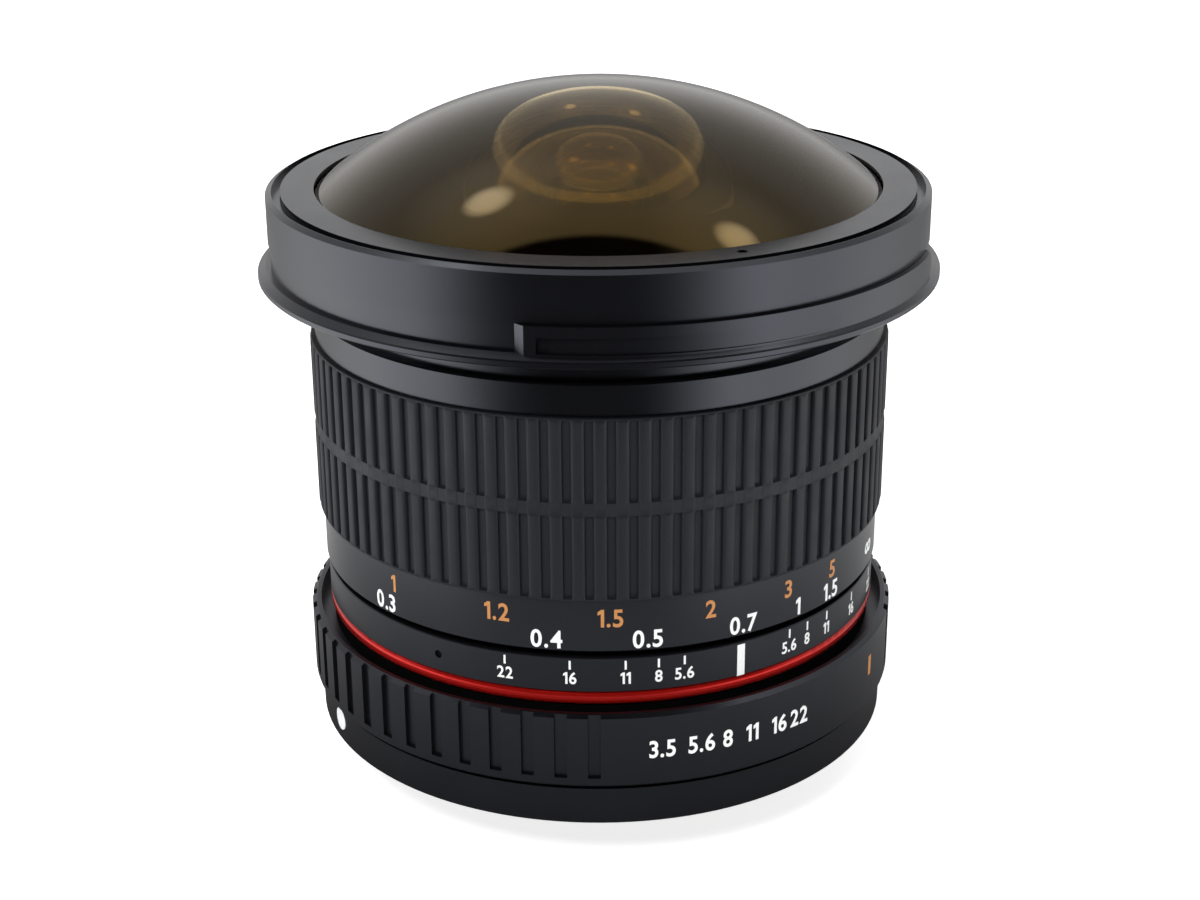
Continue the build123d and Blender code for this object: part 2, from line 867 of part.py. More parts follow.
def write_blade(number):
    """One iris blade in its layer, with its pivot pin forwards and its drive pin backwards."""
    angle = number * 360 / blade_count
    bottom = blades_bottom + number * layer_pitch
    facing = rotated((1, 0), angle - blade_turn_share * turn_to_open)
    pivot = rotated((pivot_circle, 0), angle)
    plane = Plane(origin=(*pivot, bottom), x_dir=(*facing, 0), z_dir=(0, 0, 1))
    axis_place = (-pivot_circle, 0)
    ear_reach = ear_reach_share * pivot_circle
    ear_middle = pivot_circle - ear_reach / 2
    drive_ear = rotated((ear_middle, 0), -drive_angle)
    drive_place = rotated((pivot_circle, 0), -drive_angle)
    with BuildPart() as blade:
        with BuildSketch(plane):
            with BuildLine():
                outer_edge = CenterArc(axis_place, blade_outer, blade_lead_angle, -blade_arc)
                inner_edge = CenterArc(axis_place, blade_inner, blade_lead_angle, -blade_arc)
                Line(outer_edge @ 0, inner_edge @ 0)
                Line(outer_edge @ 1, inner_edge @ 1)
            make_face()
            with Locations((-ear_reach / 2, 0)):
                SlotCenterToCenter(ear_reach, ear_width)
            with Locations((drive_ear[0] - pivot_circle, drive_ear[1])):
                SlotCenterToCenter(ear_reach, ear_width, rotation=-drive_angle)
        extrude(amount=blade_thickness)
        with BuildSketch(plane):
            Circle(pin_radius)
        extrude(amount=iris_plate_bottom + pin_hold - bottom)
        with BuildSketch(plane):
            with Locations((drive_place[0] - pivot_circle, drive_place[1])):
                Circle(pin_radius)
        extrude(amount=-(bottom - actuator_top + pin_hold))
    write(blade, f"iris_blade_{number + 1}")


for number in range(blade_count):
    write_blade(number)

# Stop-down arm: riveted under the actuator ring, it reaches back to the mount
arm_foot_length = 4.6
arm_foot_width = 5.0
arm_foot_thickness = 0.8
arm_setback = 0.7

with BuildPart() as stop_down_arm:
    with BuildSketch(lever_plane.offset(arm_setback)):
        with Locations((lever_radius - lever_thickness / 2, 0)):
            Rectangle(lever_thickness, lever_width)
    extrude(amount=actuator_bottom - arm_setback)
    with BuildSketch(lever_plane.offset(actuator_bottom - arm_foot_thickness)):
        with Locations((lever_radius - lever_play - arm_foot_length / 2, 0)):
            Rectangle(arm_foot_length, arm_foot_width)
    extrude(amount=arm_foot_thickness)
write(stop_down_arm, "stop_down_arm")

# Rear glass: name, reach, front curve, thickness, back curve and the gap after each element
cement = 0.02
rear_glass_rise = 0.5
rear_elements = (
    ("lens_6", 9.0, 40.0, 3.5, -30.0, cement),
    ("lens_7", 9.0, -30.0, 1.28, -80.0, 4.0),
    ("lens_8", 10.2, 60.0, 3.6, -25.0, cement),
    ("lens_9", 10.2, -25.0, 1.48, -90.0, 7.1),
    ("lens_10", 11.2, 50.0, 4.0, -60.0, 0),
)
element_places = {}


def write_group(elements, apex):
    """Stack lens elements backwards from the foremost apex, and keep where they lie."""
    for name, reach, front_curve, thickness, back_curve, gap_after in elements:
        with BuildPart() as element:
            glass(apex, front_curve, apex - thickness, back_curve, reach, reach)
        write(element, name)
        element_places[name] = (reach, apex, front_curve, apex - thickness, back_curve)
        apex = apex - thickness - gap_after


def front_of(name, distance):
    """Height of the front surface of an element at a distance from the axis."""
    reach, front, front_curve, back, back_curve = element_places[name]
    return surface(front, front_curve, distance)


def back_of(name, distance):
    """Height of the back surface of an element at a distance from the axis."""
    reach, front, front_curve, back, back_curve = element_places[name]
    return surface(back, back_curve, distance)


write_group(rear_elements, shelf_bottom + rear_glass_rise)

# Rear cell: the tube that holds the rear glass, bolted under the shelf by a slotted flange
cell_wall = 1.8
cell_flange_thickness = 2.0
cell_lip_width = 0.8
cell_lip_rise = 2.1
spacer_width = 0.8
cell_end_play = 0.3
cell_flange_play = 0.5
retainer_height = 1.5
retainer_width = 1.4
glass_seat = 0.03

reach_front = element_places["lens_6"][0]
reach_middle = element_places["lens_8"][0]
reach_back = element_places["lens_10"][0]
cell_end = cover_depth + cover_face + cell_end_play
cell_radius = reach_back + seat_fit + cell_wall
cell_flange_radius = rear_bore - cell_flange_play
cell_flange_bottom = shelf_bottom - cell_flange_thickness
lip_bore = reach_front - cell_lip_width
lip_bottom = front_of("lens_6", lip_bore) + glass_seat
lip_top = shelf_bottom + cell_lip_rise
step_front = front_of("lens_8", reach_front - spacer_width) + cell_lip_rise
step_back = front_of("lens_10", reach_back) + cell_lip_rise

with BuildPart() as rear_cell:
    turned([
        (reach_back + seat_fit, cell_end),
        (cell_radius, cell_end),
        (cell_radius, cell_flange_bottom),
        (cell_flange_radius, cell_flange_bottom),
        (cell_flange_radius, shelf_bottom),
        (reach_front + cell_wall, shelf_bottom),
        (reach_front + cell_wall, lip_top),
        (lip_bore, lip_top),
        (lip_bore, lip_bottom),
        (reach_front + seat_fit, lip_bottom),
        (reach_front + seat_fit, step_front),
        (reach_middle + seat_fit, step_front),
        (reach_middle + seat_fit, step_back),
        (reach_back + seat_fit, step_back),
    ])
    band(
        lever_inner - lever_play,
        lever_radius + lever_play,
        cell_flange_bottom - cut_over,
        shelf_bottom + cut_over,
        start=lever_sweep_start,
        arc=lever_sweep,
        mode=Mode.SUBTRACT,
    )
    upright_posts(
        shelf_screw_circle,
        shelf_screw_count,
        from_x(cell_screw_azimuth),
        cell_flange_bottom - cut_over,
        shelf_bottom + cut_over,
        shelf_screw_radius,
        Mode.SUBTRACT,
    )
write(rear_cell, "rear_cell")

with BuildPart() as rear_cell_screws:
    upright_posts(
        shelf_screw_circle,
        shelf_screw_count,
        from_x(cell_screw_azimuth),
        cell_flange_bottom,
        shelf_top,
        shelf_screw_radius,
    )
    upright_posts(
        shelf_screw_circle,
        shelf_screw_count,
        from_x(cell_screw_azimuth),
        cell_flange_bottom - iris_screw_head_height,
        cell_flange_bottom,
        iris_screw_head,
    )
write(rear_cell_screws, "rear_cell_screws")

with BuildPart() as rear_spacer_front:
    bore = reach_front - spacer_width
    turned([
        (bore, front_of("lens_8", bore) + glass_seat),
        (reach_front, front_of("lens_8", bore) + glass_seat),
        (reach_front, back_of("lens_7", bore) - glass_seat),
        (bore, back_of("lens_7", bore) - glass_seat),
    ])
write(rear_spacer_front, "rear_spacer_front")

with BuildPart() as rear_spacer_back:
    bore = reach_middle - spacer_width
    turned([
        (bore, front_of("lens_10", bore) + glass_seat),
        (reach_middle, front_of("lens_10", bore) + glass_seat),
        (reach_middle, back_of("lens_9", bore) - glass_seat),
        (bore, back_of("lens_9", bore) - glass_seat),
    ])
write(rear_spacer_back, "rear_spacer_back")

with BuildPart() as rear_retaining_ring:
    bore = reach_back - retainer_width
    band(
        bore,
        reach_back + seat_fit,
        back_of("lens_10", bore) - glass_seat - retainer_height,
        back_of("lens_10", bore) - glass_seat,
    )
write(rear_retaining_ring, "rear_retaining_ring")

# Focus sleeve: the turning outer tube, with a scale band below and a seat for the rubber
scale_band_height = 5.85
rubber_height = 20.05
rubber_end_gap = 0.1
sleeve_edge = 0.2
cam_foot_play = 0.2
cam_flange_height = 2.0
drive_screw_count = 3
drive_screw_radius = 0.7
drive_screw_sink = 0.05
drive_screw_azimuth = 30.0

rubber_bottom = sleeve_bottom + scale_band_height
rubber_top = rubber_bottom + rubber_height
rubber_bore = rubber_seat + running_fit / 2
cam_bottom = shoulder_height + cam_foot_play
drive_screw_height = cam_bottom + cam_flange_height / 2


def drive_screws(inner, outer, mode):
    """The grub screws that fix the cam ring in the sleeve, or the holes that they pass through."""
    for turn in range(drive_screw_count):
        angle = from_x(drive_screw_azimuth) + turn * 360 / drive_screw_count
        radial_post(inner, outer, angle, drive_screw_height, drive_screw_radius, mode)


with BuildPart() as focus_sleeve:
    turned([
        (sleeve_bore, sleeve_bottom),
        (sleeve_radius - sleeve_edge, sleeve_bottom),
        (sleeve_radius, sleeve_bottom + sleeve_edge),
        (sleeve_radius, rubber_bottom),
        (rubber_seat, rubber_bottom),
        (rubber_seat, rubber_top),
        (sleeve_radius, rubber_top),
        (sleeve_radius, sleeve_top - sleeve_edge),
        (sleeve_radius - sleeve_edge, sleeve_top),
        (sleeve_bore, sleeve_top),
    ])
    drive_screws(sleeve_bore - cut_over, rubber_seat + cut_over, Mode.SUBTRACT)
write(focus_sleeve, "focus_sleeve")

# Rubber grip: two rows of upright grooves with a plain band between them and at both ends
groove_count = 90
groove_width = 0.85
groove_depth = 0.5
row_margin_share = 0.015
lower_row_share = 0.454
middle_band_share = 0.07

row_margin = row_margin_share * rubber_height
lower_row = lower_row_share * rubber_height
upper_row = rubber_height - 2 * row_margin - lower_row - middle_band_share * rubber_height
row_starts = (rubber_bottom + row_margin, rubber_top - row_margin - upper_row)
groove_floor = rubber_radius - groove_depth

with BuildPart() as rubber_grip:
    band(rubber_bore, rubber_radius, rubber_bottom + rubber_end_gap, rubber_top - rubber_end_gap)
    for row_start, row_height in zip(row_starts, (lower_row, upper_row)):
        with BuildSketch(Plane.XY.offset(row_start)):
            with PolarLocations(groove_floor + cut_over / 2, groove_count):
                Rectangle(cut_over, groove_width)
        extrude(amount=row_height, mode=Mode.SUBTRACT)
write(rubber_grip, "rubber_grip")

# Cam ring: fixed inside the sleeve, its two slots climb round it and lift the rollers
cam_wall = 1.84
cam_top_play = 0.16
cam_slot_margin = 1.5

cam_bore = tube_radius + running_fit
cam_radius = cam_bore + cam_wall
cam_top = flange_bottom - cam_top_play
cam_lead = cell_travel / (turn_to_near + turn_to_far)
cam_slot_half = roller_radius + running_fit / 2
cam_slot_low = roller_height - cell_fall - cam_lead * cam_slot_margin
cam_slot_high = roller_height + cell_rise + cam_lead * cam_slot_margin
cam_slot_from = turn_to_far + cam_slot_margin
cam_slot_to = -turn_to_near - cam_slot_margin
cam_cut_inner = cam_bore - cut_over
cam_cut_outer = cam_radius + cut_over
cam_cut_middle = (cam_cut_inner + cam_cut_outer) / 2

with BuildLine() as cam_path:
    Helix(360 * cam_lead, cam_slot_high - cam_slot_low, cam_cut_middle, lefthand=True)

with BuildPart() as focus_cam_ring:
    turned([
        (cam_bore, cam_bottom),
        (bearing_radius, cam_bottom),
        (bearing_radius, cam_bottom + cam_flange_height),
        (cam_radius, cam_bottom + cam_flange_height),
        (cam_radius, cam_top - cam_flange_height),
        (bearing_radius, cam_top - cam_flange_height),
        (bearing_radius, cam_top),
        (cam_bore, cam_top),
    ])
    for side in (0, 180):
        start_angle = side + cam_slot_from
        slot_path = cam_path.line.rotate(Axis.Z, start_angle).moved(Location((0, 0, cam_slot_low)))
        with BuildSketch(half_plane(start_angle)) as slot_section:
            with Locations((cam_cut_middle, cam_slot_low)):
                Rectangle(cam_cut_outer - cam_cut_inner, 2 * cam_slot_half)
        sweep(slot_section.sketch, path=slot_path, is_frenet=True, mode=Mode.SUBTRACT)
        for end_turn, end_height in ((cam_slot_from, cam_slot_low), (cam_slot_to, cam_slot_high)):
            radial_post(
                cam_cut_inner,
                cam_cut_outer,
                side + end_turn,
                end_height,
                cam_slot_half,
                Mode.SUBTRACT,
            )
    drive_screws(cam_radius, bearing_radius + cut_over, Mode.SUBTRACT)
write(focus_cam_ring, "focus_cam_ring")

with BuildPart() as focus_drive_screws:
    drive_screws(cam_radius, rubber_seat - drive_screw_sink, Mode.ADD)
write(focus_drive_screws, "focus_drive_screws")

# Focus glass: the group that travels along the axis when the focus ring turns
focus_glass_rise = 4.8
focus_elements = (
    ("lens_3", 10.45, 26.0, 4.8, -30.0, cement),
    ("lens_4", 10.45, -30.0, 1.48, 40.0, 3.2),
    ("lens_5", 8.6, 20.0, 3.4, -60.0, 0),
)
write_group(focus_elements, roller_height + focus_glass_rise)

# Focus cell: a hub with the glass, a web, and a tube that slides in the guide tube
slider_wall = 1.65
slider_below_roller = 8.1
slider_above_roller = 5.1
web_half = 1.25
hub_wall = 1.5
hub_below_glass = 0.8
hub_below_apex = 0.2
ledge_width_front = 1.15
ledge_width_back = 0.6
ledge_thickness = 1.5
roller_stud_radius = 0.6
roller_stud_bite = 4.0
roller_sink = 0.15

reach_focus = element_places["lens_3"][0]
reach_small = element_places["lens_5"][0]
slider_radius = tube_bore - running_fit
slider_bore = slider_radius - slider_wall
hub_radius = reach_focus + seat_fit + hub_wall
hub_bottom = back_of("lens_5", 0) - hub_below_glass
hub_top = front_of("lens_3", 0) - hub_below_apex
ledge_bore_front = reach_focus - ledge_width_front
ledge_bore_back = reach_small - ledge_width_back
ledge_front = back_of("lens_4", reach_focus) - glass_seat
ledge_back = front_of("lens_5", ledge_bore_back) + glass_seat

with BuildPart() as focus_cell:
    turned([
        (reach_small + seat_fit, hub_bottom),
        (reach_small + seat_fit, ledge_back),
        (ledge_bore_back, ledge_back),
        (ledge_bore_back, ledge_front - ledge_thickness),
        (ledge_bore_front, ledge_front - ledge_thickness),
        (ledge_bore_front, ledge_front),
        (reach_focus + seat_fit, ledge_front),
        (reach_focus + seat_fit, hub_top),
        (hub_radius, hub_top),
        (hub_radius, roller_height + web_half),
        (slider_bore, roller_height + web_half),
        (slider_bore, roller_height + slider_above_roller),
        (slider_radius, roller_height + slider_above_roller),
        (slider_radius, roller_height - slider_below_roller),
        (slider_bore, roller_height - slider_below_roller),
        (slider_bore, roller_height - web_half),
        (hub_radius, roller_height - web_half),
        (hub_radius, hub_bottom),
    ])
    for side in (0, 180):
        radial_post(
            slider_radius - roller_stud_bite,
            slider_radius + cut_over,
            side,
            roller_height,
            roller_stud_radius,
            Mode.SUBTRACT,
        )
write(focus_cell, "focus_cell")

with BuildPart() as cam_rollers:
    for side in (0, 180):
        radial_post(
            slider_radius - roller_stud_bite,
            slider_radius,
            side,
            roller_height,
            roller_stud_radius,
        )
        radial_post(slider_radius, cam_radius - roller_sink, side, roller_height, roller_radius)
write(cam_rollers, "cam_rollers")

cell_ring_width = 1.45
cell_ring_height = 1.2
cell_ring_back_height = 0.9

with BuildPart() as cell_ring_front:
    bore = reach_focus - cell_ring_width
    bottom = front_of("lens_3", bore) + glass_seat
    band(bore, reach_focus + seat_fit, bottom, bottom + cell_ring_height)
write(cell_ring_front, "cell_ring_front")

with BuildPart() as cell_ring_back:
    bore = reach_small - cell_ring_width
    top = back_of("lens_5", bore) - glass_seat
    band(bore, reach_small + seat_fit, top - cell_ring_back_height, top)
write(cell_ring_back, "cell_ring_back")

# Front cell: holds the second element, and is bolted under the front barrel's shelf
second_gap = 8.8
second_thickness = 1.6
second_curve = 22.0
second_back_curve = 10.0
second_reach = 14.95
second_back_reach = 9.6
front_cell_wall = 1.6
front_cell_ledge = 1.75
front_cell_ledge_thickness = 1.2
front_cell_flange = 1.4
front_cell_flange_inset = 2.1
front_cell_sink = 0.2
front_cell_screw_count = 3
front_cell_screw_radius = 0.5
front_cell_screw_head = 0.95
front_cell_screw_head_height = 0.7
front_cell_screw_bite = 1.8
front_cell_screw_azimuth = 0.0
second_ring_width = 1.25

second_front = dome_apex - dome_thickness - second_gap
second_back = second_front - second_thickness
second_rim = surface(second_back, second_back_curve, second_back_reach)
front_cell_bore = second_reach + seat_fit
front_cell_radius = front_cell_bore + front_cell_wall
front_cell_flange_radius = tube_bore - front_cell_flange_inset
front_cell_flange_bottom = front_shelf_bottom - front_cell_flange
front_cell_ledge_top = second_rim - glass_seat
front_cell_top = front_shelf_top - front_cell_sink
front_cell_bottom = front_cell_ledge_top - front_cell_ledge_thickness
front_cell_screw_circle = (front_cell_radius + front_cell_flange_radius) / 2
front_cell_screw_start = from_x(front_cell_screw_azimuth)

with BuildPart() as lens_2:
    glass(
        second_front,
        second_curve,
        second_back,
        second_back_curve,
        second_reach,
        second_back_reach,
    )
write(lens_2, "lens_2")

with BuildPart() as front_cell:
    turned([
        (second_reach - front_cell_ledge, front_cell_bottom),
        (front_cell_radius, front_cell_bottom),
        (front_cell_radius, front_cell_flange_bottom),
        (front_cell_flange_radius, front_cell_flange_bottom),
        (front_cell_flange_radius, front_shelf_bottom),
        (front_cell_radius, front_shelf_bottom),
        (front_cell_radius, front_cell_top),
        (front_cell_bore, front_cell_top),
        (front_cell_bore, front_cell_ledge_top),
        (second_reach - front_cell_ledge, front_cell_ledge_top),
    ])
    upright_posts(
        front_cell_screw_circle,
        front_cell_screw_count,
        front_cell_screw_start,
        front_cell_flange_bottom - cut_over,
        front_shelf_bottom + cut_over,
        front_cell_screw_radius,
        Mode.SUBTRACT,
    )
write(front_cell, "front_cell")

with BuildPart() as front_cell_screws:
    upright_posts(
        front_cell_screw_circle,
        front_cell_screw_count,
        front_cell_screw_start,
        front_cell_flange_bottom,
        front_shelf_bottom + front_cell_screw_bite,
        front_cell_screw_radius,
    )
    upright_posts(
        front_cell_screw_circle,
        front_cell_screw_count,
        front_cell_screw_start,
        front_cell_flange_bottom - front_cell_screw_head_height,
        front_cell_flange_bottom,
        front_cell_screw_head,
    )
write(front_cell_screws, "front_cell_screws")

with BuildPart() as lens_2_ring:
    bore = second_reach - second_ring_width
    turned([
        (bore, surface(second_front, second_curve, bore) + glass_seat),
        (front_cell_bore, surface(second_front, second_curve, second_reach) + glass_seat),
        (front_cell_bore, front_cell_top),
        (bore, front_cell_top),
    ])
write(lens_2_ring, "lens_2_ring")

# Front barrel: flange, collar and the shelf under the dome, with two curved hood rails outside.
# The hood seats above the rails, and beside them the wall tapers away from it
flange_edge = 0.15
slope_reach = 0.37
collar_chamfer_height = 0.36
collar_chamfer_reach = 0.63
groove_inset = 0.68
groove_sink = 0.8
rail_top_below_collar = 5.26
rail_ground_relief = 0.1
rail_ground_taper = 0.1
hood_stop_gap = 0.05
rail_azimuth = -12.85
rail_arc = 85.85
rail_ramp_arc = 1.6
rail_count = 2
rail_recess_azimuth = -9.4
rail_recess_arc = 49.4
rail_recess_depth = 0.35
rail_recess_below_top = 1.1
rail_pocket_arc = 2.0
rail_pocket_depth = 0.6
tube_screw_head = 0.95
tube_screw_head_height = 1.0

rail_radius = collar_radius + hood_rail_height
rail_top = collar_top - rail_top_below_collar
groove_radius = collar_radius - groove_inset
front_hole = front_cell_radius + 2 * seat_fit
rail_root = collar_radius - collar_wall / 2
recess_top = rail_top - rail_recess_below_top
relief_wall = collar_radius - rail_ground_relief
relief_top = rail_top + hood_stop_gap


def at(radius, azimuth):
    """A point of the plan at this radius and azimuth."""
    return rotated((radius, 0), from_x(azimuth))


def tube_screws(clearance, mode):
    """The screws that hold the front barrel on the guide tube, or their holes."""
    upright_posts(
        tube_screw_circle,
        tube_screw_count,
        from_x(tube_screw_azimuth),
        tube_top - tube_screw_depth - clearance,
        front_shelf_top - tube_screw_head_height,
        tube_screw_radius + clearance,
        mode,
    )
    upright_posts(
        tube_screw_circle,
        tube_screw_count,
        from_x(tube_screw_azimuth),
        front_shelf_top - tube_screw_head_height,
        front_shelf_top,
        tube_screw_head + clearance,
        mode,
    )


with BuildPart() as front_barrel:
    turned([
        (tube_radius + seat_fit, flange_bottom),
        (flange_radius - flange_edge, flange_bottom),
        (flange_radius, flange_bottom + flange_edge),
        (flange_radius, flange_rim_top - flange_edge),
        (flange_radius - flange_edge, flange_rim_top),
        (collar_radius + slope_reach, collar_foot),
        (relief_wall - rail_ground_taper, collar_foot),
        (relief_wall, relief_top),
        (collar_radius, relief_top),
        (collar_radius, collar_top - collar_chamfer_height),
        (collar_radius - collar_chamfer_reach, collar_top),
        (groove_radius, collar_top),
        (groove_radius, collar_top - groove_sink),
        (collar_bore, collar_top - groove_sink),
        (collar_bore, front_shelf_top),
        (front_hole, front_shelf_top),
        (front_hole, front_shelf_bottom),
        (tube_radius + seat_fit, front_shelf_bottom),
    ])
    tube_screws(seat_fit, Mode.SUBTRACT)
    upright_posts(
        front_cell_screw_circle,
        front_cell_screw_count,
        front_cell_screw_start,
        front_shelf_bottom - cut_over,
        front_shelf_bottom + front_cell_screw_bite,
        front_cell_screw_radius,
        Mode.SUBTRACT,
    )
    for side in range(rail_count):
        start = rail_azimuth + side * 360 / rail_count
        end = start + rail_arc
        with BuildSketch(Plane.XY.offset(flange_rim_top)):
            with BuildLine():
                ThreePointArc(
                    at(rail_radius, start + rail_ramp_arc),
                    at(rail_radius, (start + end) / 2),
                    at(rail_radius, end - rail_ramp_arc),
                )
                Line(at(rail_radius, end - rail_ramp_arc), at(collar_radius, end))
                Line(at(collar_radius, end), at(rail_root, end))
                ThreePointArc(
                    at(rail_root, end),
                    at(rail_root, (start + end) / 2),
                    at(rail_root, start),
                )
                Line(at(rail_root, start), at(collar_radius, start))
                Line(at(collar_radius, start), at(rail_radius, start + rail_ramp_arc))
            make_face()
        extrude(amount=rail_top - flange_rim_top)
        recess_from = rail_recess_azimuth + side * 360 / rail_count
        recess_to = recess_from + rail_recess_arc
        recess_middle = (recess_from + recess_to) / 2
        with BuildSketch(Plane.XY.offset(collar_foot)):
            with BuildLine():
                Line(at(flange_radius, recess_from), at(rail_radius - rail_recess_depth, recess_from))
                ThreePointArc(
                    at(rail_radius - rail_recess_depth, recess_from),
                    at(rail_radius - rail_recess_depth / 2, recess_middle),
                    at(rail_radius, recess_to),
                )
                Line(at(rail_radius, recess_to), at(flange_radius, recess_to))
                ThreePointArc(
                    at(flange_radius, recess_to),
                    at(flange_radius, recess_middle),
                    at(flange_radius, recess_from),
                )
            make_face()
        extrude(amount=recess_top - collar_foot, mode=Mode.SUBTRACT)
        band(
            rail_radius - rail_pocket_depth,
            flange_radius,
            collar_foot,
            recess_top,
            start=from_x(recess_from),
            arc=rail_pocket_arc,
            mode=Mode.SUBTRACT,
        )
write(front_barrel, "front_barrel")

with BuildPart() as front_barrel_screws:
    tube_screws(0, Mode.ADD)
write(front_barrel_screws, "front_barrel_screws")

# Dome with its seal below and its ring above, which has two holes for a pin spanner
seal_width = 3.4
seal_inset = 0.2
ring_lip_width = 3.6
ring_proud = 0.04
spanner_count = 2
spanner_azimuth = 25.0
spanner_radius = 0.5
spanner_depth = 0.9
spanner_inset = 1.9

ring_radius = collar_bore - seat_fit
ring_skirt_bore = ring_radius - ring_skirt
ring_lip_bore = ring_radius - ring_lip_width
ring_top = collar_top + ring_proud
ring_bottom = dome_rim + seat_fit

with BuildPart() as front_seal:
    band(dome_reach - seal_inset - seal_width, dome_reach - seal_inset, front_shelf_top, dome_rim)
write(front_seal, "front_seal")

with BuildPart() as lens_1:
    glass(
        dome_apex,
        dome_curve,
        dome_apex - dome_thickness,
        dome_back_curve,
        dome_reach,
        dome_back_reach,
    )
write(lens_1, "lens_1")

with BuildPart() as front_ring:
    turned([
        (ring_lip_bore, surface(dome_apex, dome_curve, ring_lip_bore) + glass_play),
        (ring_skirt_bore, surface(dome_apex, dome_curve, ring_skirt_bore) + glass_play),
        (ring_skirt_bore, ring_bottom),
        (ring_radius, ring_bottom),
        (ring_radius, ring_top),
        (ring_lip_bore, ring_top),
    ])
    upright_posts(
        ring_radius - spanner_inset,
        spanner_count,
        from_x(spanner_azimuth),
        ring_top - spanner_depth,
        ring_top + cut_over,
        spanner_radius,
        Mode.SUBTRACT,
    )
write(front_ring, "front_ring")
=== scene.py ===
"""Fisheye lens: its finishes, scales, grip, dome and studio, built round the packed model."""

import json
from math import cos, pi, radians, sin, sqrt

import bmesh
import bpy
from bpy.props import FloatProperty, FloatVectorProperty, IntProperty, PointerProperty
from mathutils import Matrix, Vector


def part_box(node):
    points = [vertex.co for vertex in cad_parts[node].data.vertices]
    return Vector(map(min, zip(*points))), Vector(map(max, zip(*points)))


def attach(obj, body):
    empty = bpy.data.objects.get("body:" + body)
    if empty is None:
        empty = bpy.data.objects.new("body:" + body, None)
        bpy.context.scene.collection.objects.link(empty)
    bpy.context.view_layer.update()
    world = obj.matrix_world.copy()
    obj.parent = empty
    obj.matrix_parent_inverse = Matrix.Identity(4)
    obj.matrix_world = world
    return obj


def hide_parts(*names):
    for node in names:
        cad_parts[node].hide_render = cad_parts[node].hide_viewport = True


bl_info = {
    "name": "Fisheye lens",
    "version": (1, 0, 0),
    "blender": (4, 5, 0),
    "location": "View3D > Sidebar > Fisheye lens",
    "description": "Dresses the packed fisheye lens: finishes, scales, grip, dome and studio",
    "category": "Object",
}

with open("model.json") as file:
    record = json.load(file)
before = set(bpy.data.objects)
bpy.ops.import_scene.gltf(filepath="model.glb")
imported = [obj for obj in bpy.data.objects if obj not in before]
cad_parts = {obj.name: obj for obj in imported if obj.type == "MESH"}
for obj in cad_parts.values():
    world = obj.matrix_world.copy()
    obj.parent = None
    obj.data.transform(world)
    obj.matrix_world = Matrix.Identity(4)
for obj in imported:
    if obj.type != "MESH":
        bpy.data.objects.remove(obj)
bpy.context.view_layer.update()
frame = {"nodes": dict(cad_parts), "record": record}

MM = 0.001
GLASS_IOR = 1.6


def radius_of(node):
    """The outer radius of a turned CAD node."""
    low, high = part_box(node)
    return max(high.x, high.y, -low.x, -low.y)


def linear(colour):
    """An sRGB hex colour as linear red, green and blue."""
    shares = [int(colour[place:place + 2], 16) / 255 for place in (1, 3, 5)]
    return tuple(s / 12.92 if s <= 0.04045 else ((s + 0.055) / 1.055) ** 2.4 for s in shares)


def length(name, description, size):
    """A length property with its default in metres."""
    return FloatProperty(
        name=name, description=description, default=size, min=0.0, precision=5,
        unit="LENGTH", subtype="DISTANCE",
    )


def angle(name, description, degrees):
    """An angle property with its default in radians."""
    return FloatProperty(
        name=name, description=description, default=radians(degrees), subtype="ANGLE"
    )


def colour(name, description, value):
    """A colour property with its default in linear light."""
    return FloatVectorProperty(
        name=name, description=description, default=linear(value), min=0.0, max=1.0,
        subtype="COLOR",
    )


class GripSizes(bpy.types.PropertyGroup):
    """Sizes of the ribbed rubber grip."""
    ribs: IntProperty(name="Ribs", description="Ribs round each row", default=90, min=12)
    seat: length("Seat", "How deep the bore lies under the sleeve's surface", 0.6 * MM)
    groove: length("Groove width", "Width of the groove between two ribs", 0.82 * MM)
    depth: length("Groove depth", "Depth of a groove under the ribs' tops", 0.5 * MM)
    band_step: length("Band step", "Depth of the plain bands under the ribs' tops", 0.1 * MM)
    edge: length("Edge", "Rounding of the rubber's two ends", 0.15 * MM)
    end_run: length("End run", "Length over which a rib rounds off at its ends", 0.5 * MM)
    band: length("Middle band", "Height of the plain band between the rows", 1.4 * MM)
    middle: length("Middle", "From the lower end to the middle of that band", 10.1 * MM)
    end_band: length("End bands", "Height of the plain bands at both ends", 0.25 * MM)


class SleeveSizes(bpy.types.PropertyGroup):
    """Sizes of the focus sleeve."""
    wall: length("Wall", "Wall of the sleeve", 1.35 * MM)
    rubber_depth: length("Rubber depth", "Depth of the rubber's seat", 0.65 * MM)
    edge: length("Edge", "Broken edges at both ends", 0.2 * MM)
    recess_height: length("Recess height", "Height of the recess under the flange", 2.95 * MM)
    recess_depth: length("Recess depth", "Depth of the recess under the flange", 0.95 * MM)
    around: IntProperty(name="Around", description="Faces round it", default=192, min=32)


class DomeSizes(bpy.types.PropertyGroup):
    """Sizes of the front glass and of the second element behind it."""
    front_curve: length("Front curve", "Radius of the dome's outer surface", 48.51 * MM)
    back_curve: length("Back curve", "Radius of the dome's inner surface", 17.87 * MM)
    back_reach: length("Back reach", "Radius of the inner surface's edge", 17.0 * MM)
    thickness: length("Thickness", "Thickness of the glass on the axis", 2.8 * MM)
    second_front_curve: length("Second front curve", "Radius of its outer surface", 22.0 * MM)
    second_back_curve: length("Second back curve", "Radius of its inner surface", 10.0 * MM)
    second_back_reach: length("Second back reach", "Radius of its inner edge", 9.6 * MM)
    second_thickness: length("Second thickness", "Its thickness on the axis", 1.6 * MM)
    rings: IntProperty(name="Rings", description="Rings on each surface", default=48, min=8)
    around: IntProperty(name="Around", description="Faces round each glass", default=256, min=32)


